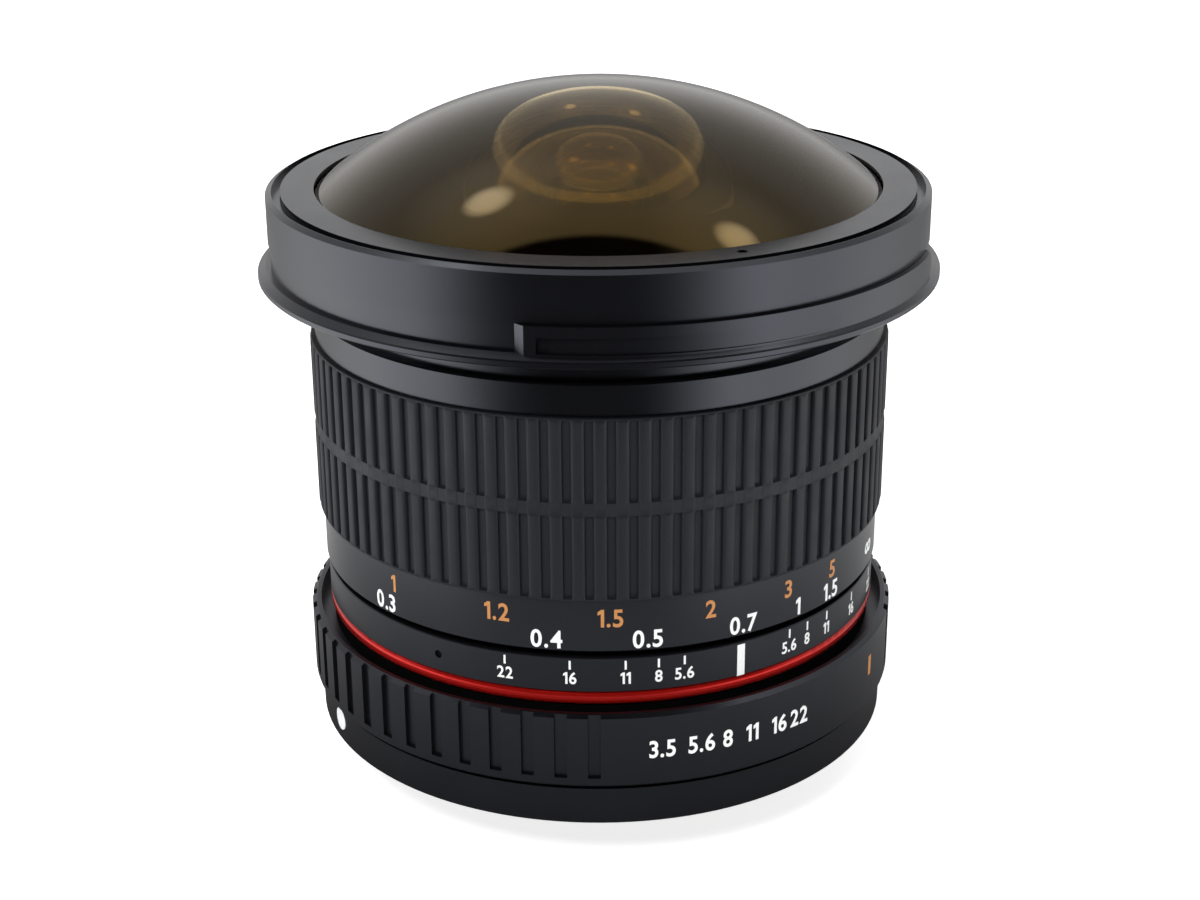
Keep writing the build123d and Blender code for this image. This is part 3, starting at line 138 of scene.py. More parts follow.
class MarkSizes(bpy.types.PropertyGroup):
    """Sizes of the painted numbers, lines and dots."""
    number_height: length("Numbers", "Height of the focus and aperture numbers", 2.0 * MM)
    depth_number_height: length("Depth numbers", "Height of the depth scale's", 1.35 * MM)
    feet_middle: length("Feet numbers", "Their middle over the sleeve's lower end", 3.95 * MM)
    metres_middle: length("Metre numbers", "Their middle over that end", 1.45 * MM)
    infinity_middle: length("Infinity sign", "Its middle over that end", 2.5 * MM)
    stops_middle: length("Aperture numbers", "Their middle over the ring's lower end", 4.32 * MM)
    paint: length("Paint", "How far the paint stands over the metal", 0.03 * MM)
    line_width: length("Index line width", "Width of the index line", 0.9 * MM)
    tick_width: length("Tick width", "Width of a depth scale tick", 0.22 * MM)
    tick_height: length("Tick height", "Height of a depth scale tick", 1.0 * MM)
    dot_radius: length("Dot radius", "Radius of the mounting dot", 1.3 * MM)
    dot_middle: length("Dot middle", "Its middle over the base ring's lower end", 2.85 * MM)


class LensColours(bpy.types.PropertyGroup):
    """Colours of the lens's finishes."""
    black: colour("Black", "Dyed black of the blasted barrel and sleeve", "#0f0f12")
    satin: colour("Satin black", "Dyed black of the turned lower rings", "#111114")
    inside: colour("Inside black", "Matt black inside the barrel", "#0b0b0c")
    sheen: colour("Sheen", "Cool tint that the black dye gives to the shine", "#e9efff")
    red: colour("Red", "Dyed red of the thin ring", "#bb1711")
    rubber: colour("Rubber", "Moulded rubber of the grip", "#1e2026")
    plastic: colour("Plastic", "Moulded plastic of the rear baffle", "#141415")
    white: colour("White paint", "Paint of the metre, aperture and depth marks", "#f2f4f4")
    orange: colour("Orange paint", "Paint of the feet numbers", "#c28244")
    amber: colour("Amber coating", "Reflection of the dome's coating", "#d9b25a")
    inner: colour("Inner coating", "Reflection of the inner coatings", "#b8924e")
    chrome: colour("Chrome", "Satin chrome of the mount", "#c9c6c0")
    steel: colour("Steel", "Screws and springs", "#a9a9a8")
    brass: colour("Brass", "Turned rollers", "#c79a52")


class StudioSizes(bpy.types.PropertyGroup):
    """The camera's place and the studio's light."""
    distance: length("Camera distance", "From the optical axis to the camera", 220.96 * MM)
    height: length("Camera height", "Over the mount's rear end", 121.63 * MM)
    pitch: angle("Camera pitch", "How far the camera looks down", 21.318)
    roll: angle("Camera roll", "Turn of the camera about its own axis", 0.332)
    focal: FloatProperty(name="Focal length", description="On a 36 mm sensor", default=61.72)
    floor: length("Floor", "Radius of the pale floor", 3.0)
    sky: FloatProperty(name="Sky", description="Brightness of the walls overhead", default=0.8)
    low: FloatProperty(name="Low walls", description="What upright faces mirror", default=3.0)
    lamps: FloatProperty(name="Lamps", description="Brightness of two soft lamps", default=5.0)
    key: FloatProperty(name="Key light", description="Power of the front light", default=9.0)
    table: FloatProperty(name="Table", description="Own light of the opal table", default=0.8)
    near: length("Near table", "Distance to which the table mirrors dimly", 135.0 * MM)


def add_node(tree, kind, inputs=(), **settings):
    """Adds a node with its settings, then joins or sets each of its inputs."""
    made = tree.nodes.new(kind)
    for name, value in settings.items():
        setattr(made, name, value)
    for socket, value in dict(inputs).items():
        if isinstance(value, bpy.types.NodeSocket):
            tree.links.new(value, made.inputs[socket])
        else:
            made.inputs[socket].default_value = value
    return made


def new_finish(name, base, inputs=()):
    """A material with one shader, whose plain inputs are set here, with its tree and shader."""
    material = bpy.data.materials.new(name)
    material.use_nodes = True
    tree = material.node_tree
    tree.nodes.clear()
    inputs = {"Base Color": (*base, 1.0), **dict(inputs)}
    shader = add_node(tree, "ShaderNodeBsdfPrincipled", inputs)
    add_node(tree, "ShaderNodeOutputMaterial", {"Surface": shader.outputs["BSDF"]})
    return material, tree, shader


# Most of a noise pattern lies in this range, which each finish stretches over its own
NOISE_LOW, NOISE_HIGH = 0.3, 0.7


def pattern(tree, size, detail=2.0, turned=False):
    """A pattern from 0 to 1 with grains of about this size in metres, or with rings if turned."""
    place = add_node(tree, "ShaderNodeTexCoord").outputs["Object"]
    if turned:
        flat = add_node(
            tree, "ShaderNodeVectorMath", {0: place, 1: (1.0, 1.0, 0.0)}, operation="MULTIPLY"
        )
        distance = add_node(
            tree, "ShaderNodeVectorMath", {0: flat.outputs[0]}, operation="LENGTH"
        )
        height = add_node(tree, "ShaderNodeSeparateXYZ", {0: place})
        inputs = {"X": distance.outputs["Value"], "Y": 0.0, "Z": height.outputs["Z"]}
        place = add_node(tree, "ShaderNodeCombineXYZ", inputs).outputs[0]
    inputs = {"Vector": place, "Scale": 1 / size, "Detail": detail}
    return add_node(tree, "ShaderNodeTexNoise", inputs).outputs[0]


def dress(tree, shader, relief=None, gloss=None, tone=None):
    """Gives a shader its relief, its range of roughness and its two tones, each from a pattern."""
    middle = {"From Min": NOISE_LOW, "From Max": NOISE_HIGH}
    if relief:
        grains, height = relief
        raised = add_node(tree, "ShaderNodeBump", {"Height": grains, "Distance": height})
        tree.links.new(raised.outputs["Normal"], shader.inputs["Normal"])
    if gloss:
        grains, low, high = gloss
        inputs = {"Value": grains, **middle, "To Min": low, "To Max": high}
        rough = add_node(tree, "ShaderNodeMapRange", inputs)
        tree.links.new(rough.outputs[0], shader.inputs["Roughness"])
    if tone:
        grains, first, second = tone
        share = add_node(tree, "ShaderNodeMapRange", {"Value": grains, **middle})
        inputs = {"Factor": share.outputs[0], 6: (*first, 1.0), 7: (*second, 1.0)}
        both = add_node(tree, "ShaderNodeMix", inputs, data_type="RGBA")
        tree.links.new(both.outputs[2], shader.inputs["Base Color"])


def darker(shade, part):
    """A colour brought down to a part of its light."""
    return tuple(channel * part for channel in shade[:3])


def anodised_aluminium_black(colours):
    """Black anodised aluminium, fine blasted: soft wide highlights and a faint sparkle of grain."""
    material, tree, shader = new_finish(
        "anodised_aluminium_black_blasted", colours.black,
        {"Specular Tint": (*colours.sheen, 1.0)},
    )
    grain = pattern(tree, 0.12 * MM, 3.0)
    handled = pattern(tree, 9.0 * MM, 4.0)
    dress(
        tree, shader, relief=(grain, 0.004 * MM), gloss=(handled, 0.21, 0.27),
        tone=(grain, darker(colours.black, 0.8), colours.black),
    )
    return material


def anodised_aluminium_satin(colours):
    """Black anodised aluminium, turned and lightly etched: darker, with a satin shine."""
    material, tree, shader = new_finish(
        "anodised_aluminium_black_satin", colours.satin,
        {"Specular Tint": (*colours.sheen, 1.0)},
    )
    lines = pattern(tree, 0.1 * MM, turned=True)
    handled = pattern(tree, 7.0 * MM, 4.0)
    dress(
        tree, shader, relief=(lines, 0.0015 * MM), gloss=(handled, 0.28, 0.35),
        tone=(handled, darker(colours.satin, 0.85), colours.satin),
    )
    return material


def anodised_aluminium_inside(colours):
    """Matt black anodised aluminium with turning grooves: it swallows light, with faint rings."""
    material, tree, shader = new_finish(
        "anodised_aluminium_black_turned", colours.inside, {"Specular IOR Level": 0.08}
    )
    grooves = pattern(tree, 0.25 * MM, 1.0, turned=True)
    dress(tree, shader, relief=(grooves, 0.01 * MM), gloss=(grooves, 0.55, 0.7))
    return material


def anodised_aluminium_red(colours):
    """Red dyed anodised aluminium, turned bright: a coloured metal shine, crisp highlights."""
    material, tree, shader = new_finish(
        "anodised_aluminium_red_bright", colours.red, {"Metallic": 0.6}
    )
    lines = pattern(tree, 0.15 * MM, 1.0, turned=True)
    dress(tree, shader, relief=(lines, 0.002 * MM), gloss=(lines, 0.24, 0.32))
    return material


def rubber_moulded(colours):
    """Moulded nitrile rubber: a dull grey bloom, a little lighter where hands have rubbed it."""
    material, tree, shader = new_finish(
        "nitrile_rubber_moulded", colours.rubber, {"Specular IOR Level": 0.35}
    )
    pits = pattern(tree, 0.2 * MM, 4.0)
    bloom = pattern(tree, 4.0 * MM, 5.0)
    dress(
        tree, shader, relief=(pits, 0.012 * MM), gloss=(bloom, 0.52, 0.64),
        tone=(bloom, darker(colours.rubber, 0.85), colours.rubber),
    )
    return material


def chrome_satin(colours):
    """Brass with satin chrome, turned: a bright warm grey with fine rings and stretched glints."""
    material, tree, shader = new_finish("chromed_brass_satin", colours.chrome, {"Metallic": 1.0})
    rings = pattern(tree, 0.12 * MM, turned=True)
    dress(tree, shader, relief=(rings, 0.004 * MM), gloss=(rings, 0.2, 0.34))
    return material


def plastic_moulded(colours):
    """Moulded ABS with a spark eroded texture: matt, with a fine even stipple."""
    material, tree, shader = new_finish("abs_moulded_matt", colours.plastic)
    stipple = pattern(tree, 0.18 * MM, 3.0)
    dress(tree, shader, relief=(stipple, 0.015 * MM), gloss=(stipple, 0.5, 0.62))
    return material


def steel_plain(colours):
    """Bright machined steel: cool grey with small scratches in every direction."""
    material, tree, shader = new_finish(
        "stainless_steel_machined", colours.steel, {"Metallic": 1.0}
    )
    scratches = pattern(tree, 0.1 * MM, 5.0)
    dress(tree, shader, relief=(scratches, 0.002 * MM), gloss=(scratches, 0.25, 0.38))
    return material


def steel_blackened(colours):
    """Spring steel, chemically blackened: nearly black, with a dull sheen."""
    material, tree, shader = new_finish(
        "spring_steel_blackened", darker(colours.steel, 0.08), {"Metallic": 0.6}
    )
    cloud = pattern(tree, 1.5 * MM, 4.0)
    dress(tree, shader, relief=(cloud, 0.002 * MM), gloss=(cloud, 0.36, 0.5))
    return material


def brass_turned(colours):
    """Turned brass: warm yellow metal with fine tool lines."""
    material, tree, shader = new_finish("brass_turned", colours.brass, {"Metallic": 1.0})
    lines = pattern(tree, 0.1 * MM, 3.0)
    dress(tree, shader, relief=(lines, 0.003 * MM), gloss=(lines, 0.22, 0.34))
    return material


def dome_glass(colours):
    """Optical crown glass, polished and coated: clear within, amber brown where it mirrors."""
    material, tree, shader = new_finish(
        "crown_glass_coated", (1.0, 1.0, 1.0),
        {"IOR": GLASS_IOR, "Roughness": 0.0, "Transmission Weight": 1.0,
         "Specular Tint": (*colours.amber, 1.0)},
    )
    layers = pattern(tree, 12.0 * MM, 1.0)
    dress(tree, shader, tone=(layers, linear("#e6cb90"), linear("#f0d9a6")))
    return material


def edge_lacquer(colours):
    """Black lacquer brushed on a lens's ground edge: no shine, also from within the glass."""
    material, tree, shader = new_finish(
        "edge_lacquer_brushed", colours.inside, {"Specular IOR Level": 0.0}
    )
    strokes = pattern(tree, 0.5 * MM, 3.0, turned=True)
    dress(tree, shader, relief=(strokes, 0.01 * MM), gloss=(strokes, 0.55, 0.75))
    return material


def inner_glass(colours):
    """Coated flint glass of the inner elements: nearly clear, with warm ghosts of the light."""
    material, tree, shader = new_finish(
        "flint_glass_coated", (1.0, 1.0, 1.0),
        {"IOR": GLASS_IOR, "Roughness": 0.0, "Transmission Weight": 1.0,
         "Specular Tint": (*colours.inner, 1.0)},
    )
    layers = pattern(tree, 8.0 * MM, 1.0)
    dress(tree, shader, tone=(layers, linear("#f1f7ea"), linear("#ffffff")))
    return material


def paint(name, shade):
    """Enamel filled into engraving: opaque and nearly matt, a little uneven at its surface."""
    material, tree, shader = new_finish(name, shade)
    drops = pattern(tree, 0.3 * MM)
    dress(
        tree, shader, relief=(drops, 0.006 * MM), gloss=(drops, 0.38, 0.5),
        tone=(drops, darker(shade, 0.93), shade[:3]),
    )
    return material


FINISHES = {
    "black_anodised": anodised_aluminium_black,
    "satin_black": anodised_aluminium_satin,
    "black_inside": anodised_aluminium_inside,
    "red_anodised": anodised_aluminium_red,
    "rubber": rubber_moulded,
    "mount_chrome": chrome_satin,
    "black_plastic": plastic_moulded,
    "steel": steel_plain,
    "black_steel": steel_blackened,
    "brass": brass_turned,
    "glass": dome_glass,
    "inner_glass": inner_glass,
}

# Nodes whose finish differs from what their slot names
OTHER_FINISHES = {
    "aperture_ring": "satin_black",
    "base_ring": "satin_black",
    "index_ring": "satin_black",
    # The grub screws take the matt inside black, far darker than blackened steel: painted shade
    # that stands for their dark holes.
    "index_ring_screws": "black_inside",
}


def finish_of(scene, kind):
    """The material of a slot in the record, or of another kind, made when it is first asked for."""
    key = "finish_of_" + kind
    if key not in scene:
        scene[key] = FINISHES[kind](scene.fisheye_colours)
    return scene[key]


def paint_of(scene, which):
    """White or orange enamel, made when it is first asked for."""
    name = f"enamel_{which}_filled"
    shade = getattr(scene.fisheye_colours, which)
    return bpy.data.materials.get(name) or paint(name, tuple(shade))


def add_piece(context, name, mesh, material, body, stands_for=(), sharp=30.0):
    """Links a mesh as a piece that rides on a body, smooth but for its sharp edges."""
    mesh.shade_smooth()
    mesh.set_sharp_from_angle(angle=radians(sharp))
    mesh.materials.append(material)
    piece = bpy.data.objects.new(name, mesh)
    context.scene.collection.objects.link(piece)
    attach(piece, body)
    if stands_for:
        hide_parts(*stands_for)
    return piece


def close_mesh(name, shape):
    """Turns a bmesh into a mesh whose faces all look outwards."""
    bmesh.ops.recalc_face_normals(shape, faces=shape.faces)
    mesh = bpy.data.meshes.new(name)
    shape.to_mesh(mesh)
    shape.free()
    return mesh


def lathed(name, outline, around, ring=False):
    """A mesh turned from (radius, height) points, from axis to axis or closed into a ring."""
    shape = bmesh.new()
    rings = []
    for radius, height in outline:
        if radius == 0:
            rings.append([shape.verts.new((0, 0, height))] * around)
        else:
            turns = [2 * pi * step / around for step in range(around)]
            corners = [(radius * cos(turn), radius * sin(turn), height) for turn in turns]
            rings.append([shape.verts.new(corner) for corner in corners])
    for first, second in zip(rings, rings[1:] + rings[:int(ring)]):
        for step in range(around):
            after = (step + 1) % around
            corners = dict.fromkeys((first[step], first[after], second[after], second[step]))
            shape.faces.new(list(corners))
    return close_mesh(name, shape)


def on_ring(radius, azimuth, height):
    """The point at this azimuth from the front (-Y) towards +X, at this radius and height."""
    return Vector((radius * sin(azimuth), -radius * cos(azimuth), height))


class FISHEYE_OT_finish_pieces(bpy.types.Operator):
    """Give every packed piece its slot's finish, or its own where that differs"""
    bl_idname = "fisheye.finish_pieces"
    bl_label = "Finish the packed pieces"

    def execute(self, context):
        for part in frame["record"]["subparts"]:
            node = frame["nodes"][part["node"]]
            kind = OTHER_FINISHES.get(part["node"], part["material_slot"])
            finish = finish_of(context.scene, kind)
            if not node.material_slots:
                raise RuntimeError(f"{node.name} has no material slot")
            for slot in node.material_slots:
                slot.material = finish
        return {"FINISHED"}


# Places across a rib, from -1 to 1, where its section is drawn
RIB_PLACES = (-1, -0.97, -0.88, -0.7, -0.4, 0, 0.4, 0.7, 0.88, 0.97, 1)
RIB_ROUNDNESS = 3.6
# How a rib rises at its end: parts of the end run, and of the rib's height
RIB_RISES = ((0, 0), (0.12, 0.45), (0.35, 0.8), (0.65, 0.95), (1, 1))
# How the rubber's ends are rounded: parts of the edge along the axis, and inwards
EDGE_STEPS = ((0, 1), (0.3, 0.3), (1, 0))
GRIP_SHARP_ANGLE = 50.0


def rib_height(place):
    """Height of a rounded rib, as a part, at a place from -1 to 1 across it."""
    return max(0.0, 1 - abs(place) ** RIB_ROUNDNESS) ** (1 / RIB_ROUNDNESS)


class FISHEYE_OT_rubber_grip(bpy.types.Operator):
    """Mould the ribbed rubber grip, with two rows of rounded ribs and plain bands"""
    bl_idname = "fisheye.rubber_grip"
    bl_label = "Rubber grip"

    def execute(self, context):
        sizes = context.scene.fisheye_grip
        low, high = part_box("rubber_grip")
        top_radius = radius_of("rubber_grip")
        bore = radius_of("focus_sleeve") - sizes.seat
        middle = low.z + sizes.middle
        rows = (
            (low.z + sizes.end_band, middle - sizes.band / 2),
            (middle + sizes.band / 2, high.z - sizes.end_band),
        )
        pitch = 2 * pi / sizes.ribs
        half_groove = sizes.groove / (2 * top_radius)
        half_rib = pitch / 2 - half_groove
        columns = [(0.0, 0.0)]
        for place in RIB_PLACES:
            columns.append((pitch / 2 + place * half_rib, rib_height(place)))
        levels = [(low.z + up * sizes.edge, inset * sizes.edge, 0.0) for up, inset in EDGE_STEPS]
        for start, end in rows:
            for part, rise in RIB_RISES:
                levels.append((start + part * sizes.end_run, 0.0, rise))
            for part, rise in reversed(RIB_RISES):
                levels.append((end - part * sizes.end_run, 0.0, rise))
        for down, inset in reversed(EDGE_STEPS):
            levels.append((high.z - down * sizes.edge, inset * sizes.edge, 0.0))
        shape = bmesh.new()
        places = []
        for rib in range(sizes.ribs):
            places += [(rib * pitch + turn, rise) for turn, rise in columns]

        def ring(height, radii):
            made = []
            for (turn, _), radius in zip(places, radii):
                made.append(shape.verts.new((radius * cos(turn), radius * sin(turn), height)))
            return made

        band_radius = top_radius - sizes.band_step
        rings = [ring(low.z, [bore] * len(places))]
        for height, inset, rise in levels:
            radii = []
            for _, rib in places:
                ribbed = top_radius - sizes.depth * (1 - rib)
                radii.append(band_radius + (ribbed - band_radius) * rise - inset)
            rings.append(ring(height, radii))
        rings.append(ring(high.z, [bore] * len(places)))
        for first, second in zip(rings, rings[1:] + rings[:1]):
            for step in range(len(places)):
                after = (step + 1) % len(places)
                shape.faces.new((first[step], first[after], second[after], second[step]))
        add_piece(
            context, "ribbed_rubber_grip", close_mesh("ribbed_rubber_grip", shape),
            finish_of(context.scene, "rubber"), "focus_ring", ("rubber_grip",),
            GRIP_SHARP_ANGLE,
        )
        return {"FINISHED"}


class FISHEYE_OT_focus_sleeve(bpy.types.Operator):
    """Turn the focus sleeve, with the rubber's seat and the dark recess under the flange"""
    bl_idname = "fisheye.focus_sleeve"
    bl_label = "Focus sleeve"

    def execute(self, context):
        sizes = context.scene.fisheye_sleeve
        bottom, top = (corner.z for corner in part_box("focus_sleeve"))
        seat_bottom, seat_top = (corner.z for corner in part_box("rubber_grip"))
        outer = radius_of("focus_sleeve")
        seat = outer - sizes.rubber_depth
        step = top - sizes.recess_height
        neck = outer - sizes.recess_depth
        outline = (
            (outer - sizes.wall, bottom),
            (outer - sizes.edge, bottom),
            (outer, bottom + sizes.edge),
            (outer, seat_bottom),
            (seat, seat_bottom),
            (seat, seat_top),
            (outer, seat_top),
            (outer, step - sizes.edge),
            (outer - sizes.edge, step),
            (neck, step),
            (neck, top),
            (outer - sizes.wall, top),
        )
        mesh = lathed("turned_focus_sleeve", outline, sizes.around, ring=True)
        add_piece(
            context, "turned_focus_sleeve", mesh, finish_of(context.scene, "black_anodised"),
            "focus_ring", ("focus_sleeve",),
        )
        return {"FINISHED"}


# A face this near to a glass's outer radius is its ground edge, and one whose normal is this
# upright is flat
EDGE_MARGIN = 0.01 * MM
FLAT_NORMAL = 0.9999


def glass_element(name, top, low, reach, front_curve, back_curve, back_reach, thickness, sizes):
    """A polished meniscus whose ground edge and flat rim take the second material."""
    def drop(curve, distance):
        return curve - sqrt(curve ** 2 - distance ** 2)

    outline = []
    for step in range(sizes.rings + 1):
        distance = reach * sin(pi / 2 * step / sizes.rings)
        outline.append((distance, top - drop(front_curve, distance)))
    outline.append((reach, low))
    for step in range(sizes.rings, -1, -1):
        distance = back_reach * sin(pi / 2 * step / sizes.rings)
        outline.append((distance, top - thickness - drop(back_curve, distance)))
    mesh = lathed(name, outline, sizes.around)
    edge = reach - EDGE_MARGIN
    for face in mesh.polygons:
        ground = all(mesh.vertices[corner].co.xy.length > edge for corner in face.vertices)
        flat = abs(face.normal.z) > FLAT_NORMAL and face.center.xy.length > back_reach
        face.material_index = int(ground or flat)
    return mesh


class FISHEYE_OT_front_glass(bpy.types.Operator):
    """Grind the front glass, a deep dome, and the second element that shows through it"""
    bl_idname = "fisheye.front_glass"
    bl_label = "Front glass"

    def execute(self, context):
        sizes = context.scene.fisheye_dome
        first = (sizes.front_curve, sizes.back_curve, sizes.back_reach, sizes.thickness)
        second = (
            sizes.second_front_curve, sizes.second_back_curve, sizes.second_back_reach,
            sizes.second_thickness,
        )
        elements = (
            ("front_glass_dome", "lens_1", "glass", first),
            ("second_glass", "lens_2", "inner_glass", second),
        )
        lacquer = edge_lacquer(context.scene.fisheye_colours)
        for name, node, slot, curves in elements:
            low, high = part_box(node)
            mesh = glass_element(name, high.z, low.z, radius_of(node), *curves, sizes)
            add_piece(context, name, mesh, finish_of(context.scene, slot), "barrel", (node,))
            mesh.materials.append(lacquer)
        return {"FINISHED"}


# Sizes of the font's characters in its own units, with how far strokes are made bolder
DIGIT_HEIGHT = 0.73
LETTER_GAP = 0.1
BOLDER = 0.021
# The flag that the font's 1 lacks, from its upper left corner
FLAG_OF_ONE = ((0.03, 0.0), (0.03, -0.17), (-0.13, -0.23), (-0.13, -0.1))
# Characters that are already made
GLYPHS = {}


def glyph(letter):
    """A bold character as corners and faces: from 0 rightwards, with its depth from -1 to 1."""
    letters = bpy.data.curves.new("glyph", "FONT")
    letters.body = letter
    letters.extrude = 1.0
    letters.offset = BOLDER
    letters.resolution_u = 6
    shape = bpy.data.objects.new("glyph", letters)
    bpy.context.scene.collection.objects.link(shape)
    graph = bpy.context.evaluated_depsgraph_get()
    mesh = bpy.data.meshes.new_from_object(shape.evaluated_get(graph))
    corners = [vertex.co.copy() for vertex in mesh.vertices]
    faces = [tuple(face.vertices) for face in mesh.polygons]
    bpy.data.objects.remove(shape)
    bpy.data.curves.remove(letters)
    bpy.data.meshes.remove(mesh)
    if letter == "1":
        top = max(corner.y for corner in corners)
        left = min(corner.x for corner in corners)
        first, sides = len(corners), len(FLAG_OF_ONE)
        for depth in (-1, 1):
            faces.append(tuple(range(len(corners), len(corners) + sides)))
            corners += [Vector((left + x, top + y, depth)) for x, y in FLAG_OF_ONE]
        for step in range(sides):
            start, end = first + step, first + (step + 1) % sides
            faces.append((start, end, end + sides, start + sides))
    left = min(corner.x for corner in corners)
    return [corner - Vector((left, 0, 0)) for corner in corners], faces


def write_number(
    shape, words, height, azimuth, middle, radius, rise, squeeze=0.9, sideways=False
):
    """Wraps numbers round a ring of this radius, centred at this azimuth and height."""
    placed = []
    pen = 0.0
    for letter in words:
        if letter not in GLYPHS:
            GLYPHS[letter] = glyph(letter)
        corners, faces = GLYPHS[letter]
        placed.append(([corner + Vector((pen, 0, 0)) for corner in corners], faces))
        pen += max(corner.x for corner in corners) + LETTER_GAP
    centre = (pen - LETTER_GAP) / 2
    for corners, faces in placed:
        made = []
        for corner in corners:
            across = (corner.x - centre) / DIGIT_HEIGHT * squeeze
            along = corner.y / DIGIT_HEIGHT - 0.5
            if sideways:
                across, along = -along, across
            turn = azimuth + across * height / radius
            place = on_ring(radius + rise * corner.z, turn, middle + along * height)
            made.append(shape.verts.new(place))
        for face in faces:
            shape.faces.new([made[corner] for corner in face])


def paint_line(shape, azimuth, width, bottom, top, radius, rise):
    """A painted upright bar on a ring, bent to it and closed at its back."""
    steps = 4
    turns = [azimuth + width / radius * (step / steps - 0.5) for step in range(steps + 1)]
    rows = []
    for outwards in (-rise, rise):
        for height in (bottom, top):
            places = [on_ring(radius + outwards, turn, height) for turn in turns]
            rows.append([shape.verts.new(place) for place in places])
    inner_low, inner_top, outer_low, outer_top = rows
    around = (inner_low, outer_low, outer_top, inner_top)
    for first, second in zip(around, around[1:] + around[:1]):
        for step in range(steps):
            shape.faces.new((first[step], first[step + 1], second[step + 1], second[step]))
    for end in (0, steps):
        shape.faces.new([row[end] for row in around])


# Numbers with their azimuths in degrees, from the front towards +X
FEET = (
    ("1", -43.75), ("1.2", -19.75), ("1.5", 1.75), ("2", 20.9), ("3", 38.4), ("5", 51.5),
)
METRES = (
    ("0.3", -46.3), ("0.4", -10.2), ("0.5", 8.7), ("0.7", 27.9), ("1", 41.15), ("1.5", 51.3),
)
STOPS = (
    ("3.5", 10.8), ("5.6", 18.05), ("8", 23.1), ("11", 28.1), ("16", 34.0), ("22", 38.75),
)
STOPS_SQUEEZE = 0.86
# The infinity sign is an 8 on its side, larger than the numbers
INFINITY_AZIMUTH = 69.75
INFINITY_GROWTH = 1.25


class FISHEYE_OT_focus_scale(bpy.types.Operator):
    """Paint the feet and metre numbers on the focus sleeve"""
    bl_idname = "fisheye.focus_scale"
    bl_label = "Focus scale"

    def execute(self, context):
        sizes = context.scene.fisheye_marks
        radius = radius_of("focus_sleeve")
        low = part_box("focus_sleeve")[0].z
        rows = (
            ("focus_numbers_feet", FEET, "orange", low + sizes.feet_middle),
            ("focus_numbers_metres", METRES, "white", low + sizes.metres_middle),
        )
        for name, numbers, which, middle in rows:
            shape = bmesh.new()
            for words, place in numbers:
                write_number(
                    shape, words, sizes.number_height, radians(place), middle, radius, sizes.paint
                )
            if which == "white":
                write_number(
                    shape, "8", INFINITY_GROWTH * sizes.number_height, radians(INFINITY_AZIMUTH),
                    low + sizes.infinity_middle, radius, sizes.paint, sideways=True,
                )
            add_piece(
                context, name, close_mesh(name, shape), paint_of(context.scene, which),
                "focus_ring",
            )
        return {"FINISHED"}


# The orange mark: its azimuth in degrees, its width, and its ends over the ring's lower end
MARK_AZIMUTH = 62.5
MARK_WIDTH = 0.7 * MM
MARK_ENDS = (3.6 * MM, 6.0 * MM)


class FISHEYE_OT_aperture_scale(bpy.types.Operator):
    """Paint the aperture numbers and the orange mark on the aperture ring"""
    bl_idname = "fisheye.aperture_scale"
    bl_label = "Aperture scale"

    def execute(self, context):
        sizes = context.scene.fisheye_marks
        radius = radius_of("aperture_ring")
        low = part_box("aperture_ring")[0].z
        shape = bmesh.new()
        for words, place in STOPS:
            write_number(
                shape, words, sizes.number_height, radians(place), low + sizes.stops_middle,
                radius, sizes.paint, STOPS_SQUEEZE,
            )
        add_piece(
            context, "aperture_numbers", close_mesh("aperture_numbers", shape),
            paint_of(context.scene, "white"), "aperture_control",
        )
        mark = bmesh.new()
        bottom, top = (low + end for end in MARK_ENDS)
        paint_line(mark, radians(MARK_AZIMUTH), MARK_WIDTH, bottom, top, radius, sizes.paint)
        add_piece(
            context, "aperture_mark", close_mesh("aperture_mark", mark),
            paint_of(context.scene, "orange"), "aperture_control",
        )
        return {"FINISHED"}


INDEX_AZIMUTH = 27.68
# How far the index line stays from the ring's lower and upper ends
INDEX_MARGINS = (0.05 * MM, 0.3 * MM)
# The depth scale: its stops, how far it spreads from the index line for each, and how far its
# ticks lie under the ring's end and its numbers' middles under the ticks
DEPTH_STOPS = (5.6, 8, 11, 16, 22)
DEGREES_PER_STOP = 2.1
TICK_DROP = 0.35 * MM
DEPTH_NUMBER_DROP = 0.95 * MM


class FISHEYE_OT_index_marks(bpy.types.Operator):
    """Paint the index line and a plain depth scale on the index ring"""
    bl_idname = "fisheye.index_marks"
    bl_label = "Index line and depth scale"

    def execute(self, context):
        sizes = context.scene.fisheye_marks
        radius = radius_of("index_ring")
        low, high = (corner.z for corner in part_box("index_ring"))
        index = radians(INDEX_AZIMUTH)
        white = paint_of(context.scene, "white")
        line = bmesh.new()
        bottom, top = low + INDEX_MARGINS[0], high - INDEX_MARGINS[1]
        paint_line(line, index, sizes.line_width, bottom, top, radius, sizes.paint)
        add_piece(
            context, "index_line", close_mesh("index_line", line), white, "barrel",
        )
        scale = bmesh.new()
        top = high - TICK_DROP
        bottom = top - sizes.tick_height
        for stop in DEPTH_STOPS:
            for side in (-1, 1):
                azimuth = index + side * radians(DEGREES_PER_STOP * stop)
                paint_line(scale, azimuth, sizes.tick_width, bottom, top, radius, sizes.paint)
                write_number(
                    scale, f"{stop:g}", sizes.depth_number_height, azimuth,
                    bottom - DEPTH_NUMBER_DROP, radius, sizes.paint,
                )
        add_piece(
            context, "depth_scale", close_mesh("depth_scale", scale), white, "barrel",
        )
        return {"FINISHED"}


DOT_AZIMUTH = -63.3
# The dot's rounded face: parts of its radius, and how many paint depths each stands out
DOT_PROFILE = ((1, -2), (1, 0.6), (0.92, 1.6), (0.8, 2.0), (0.5, 2.3))
DOT_SHARP_ANGLE = 60.0


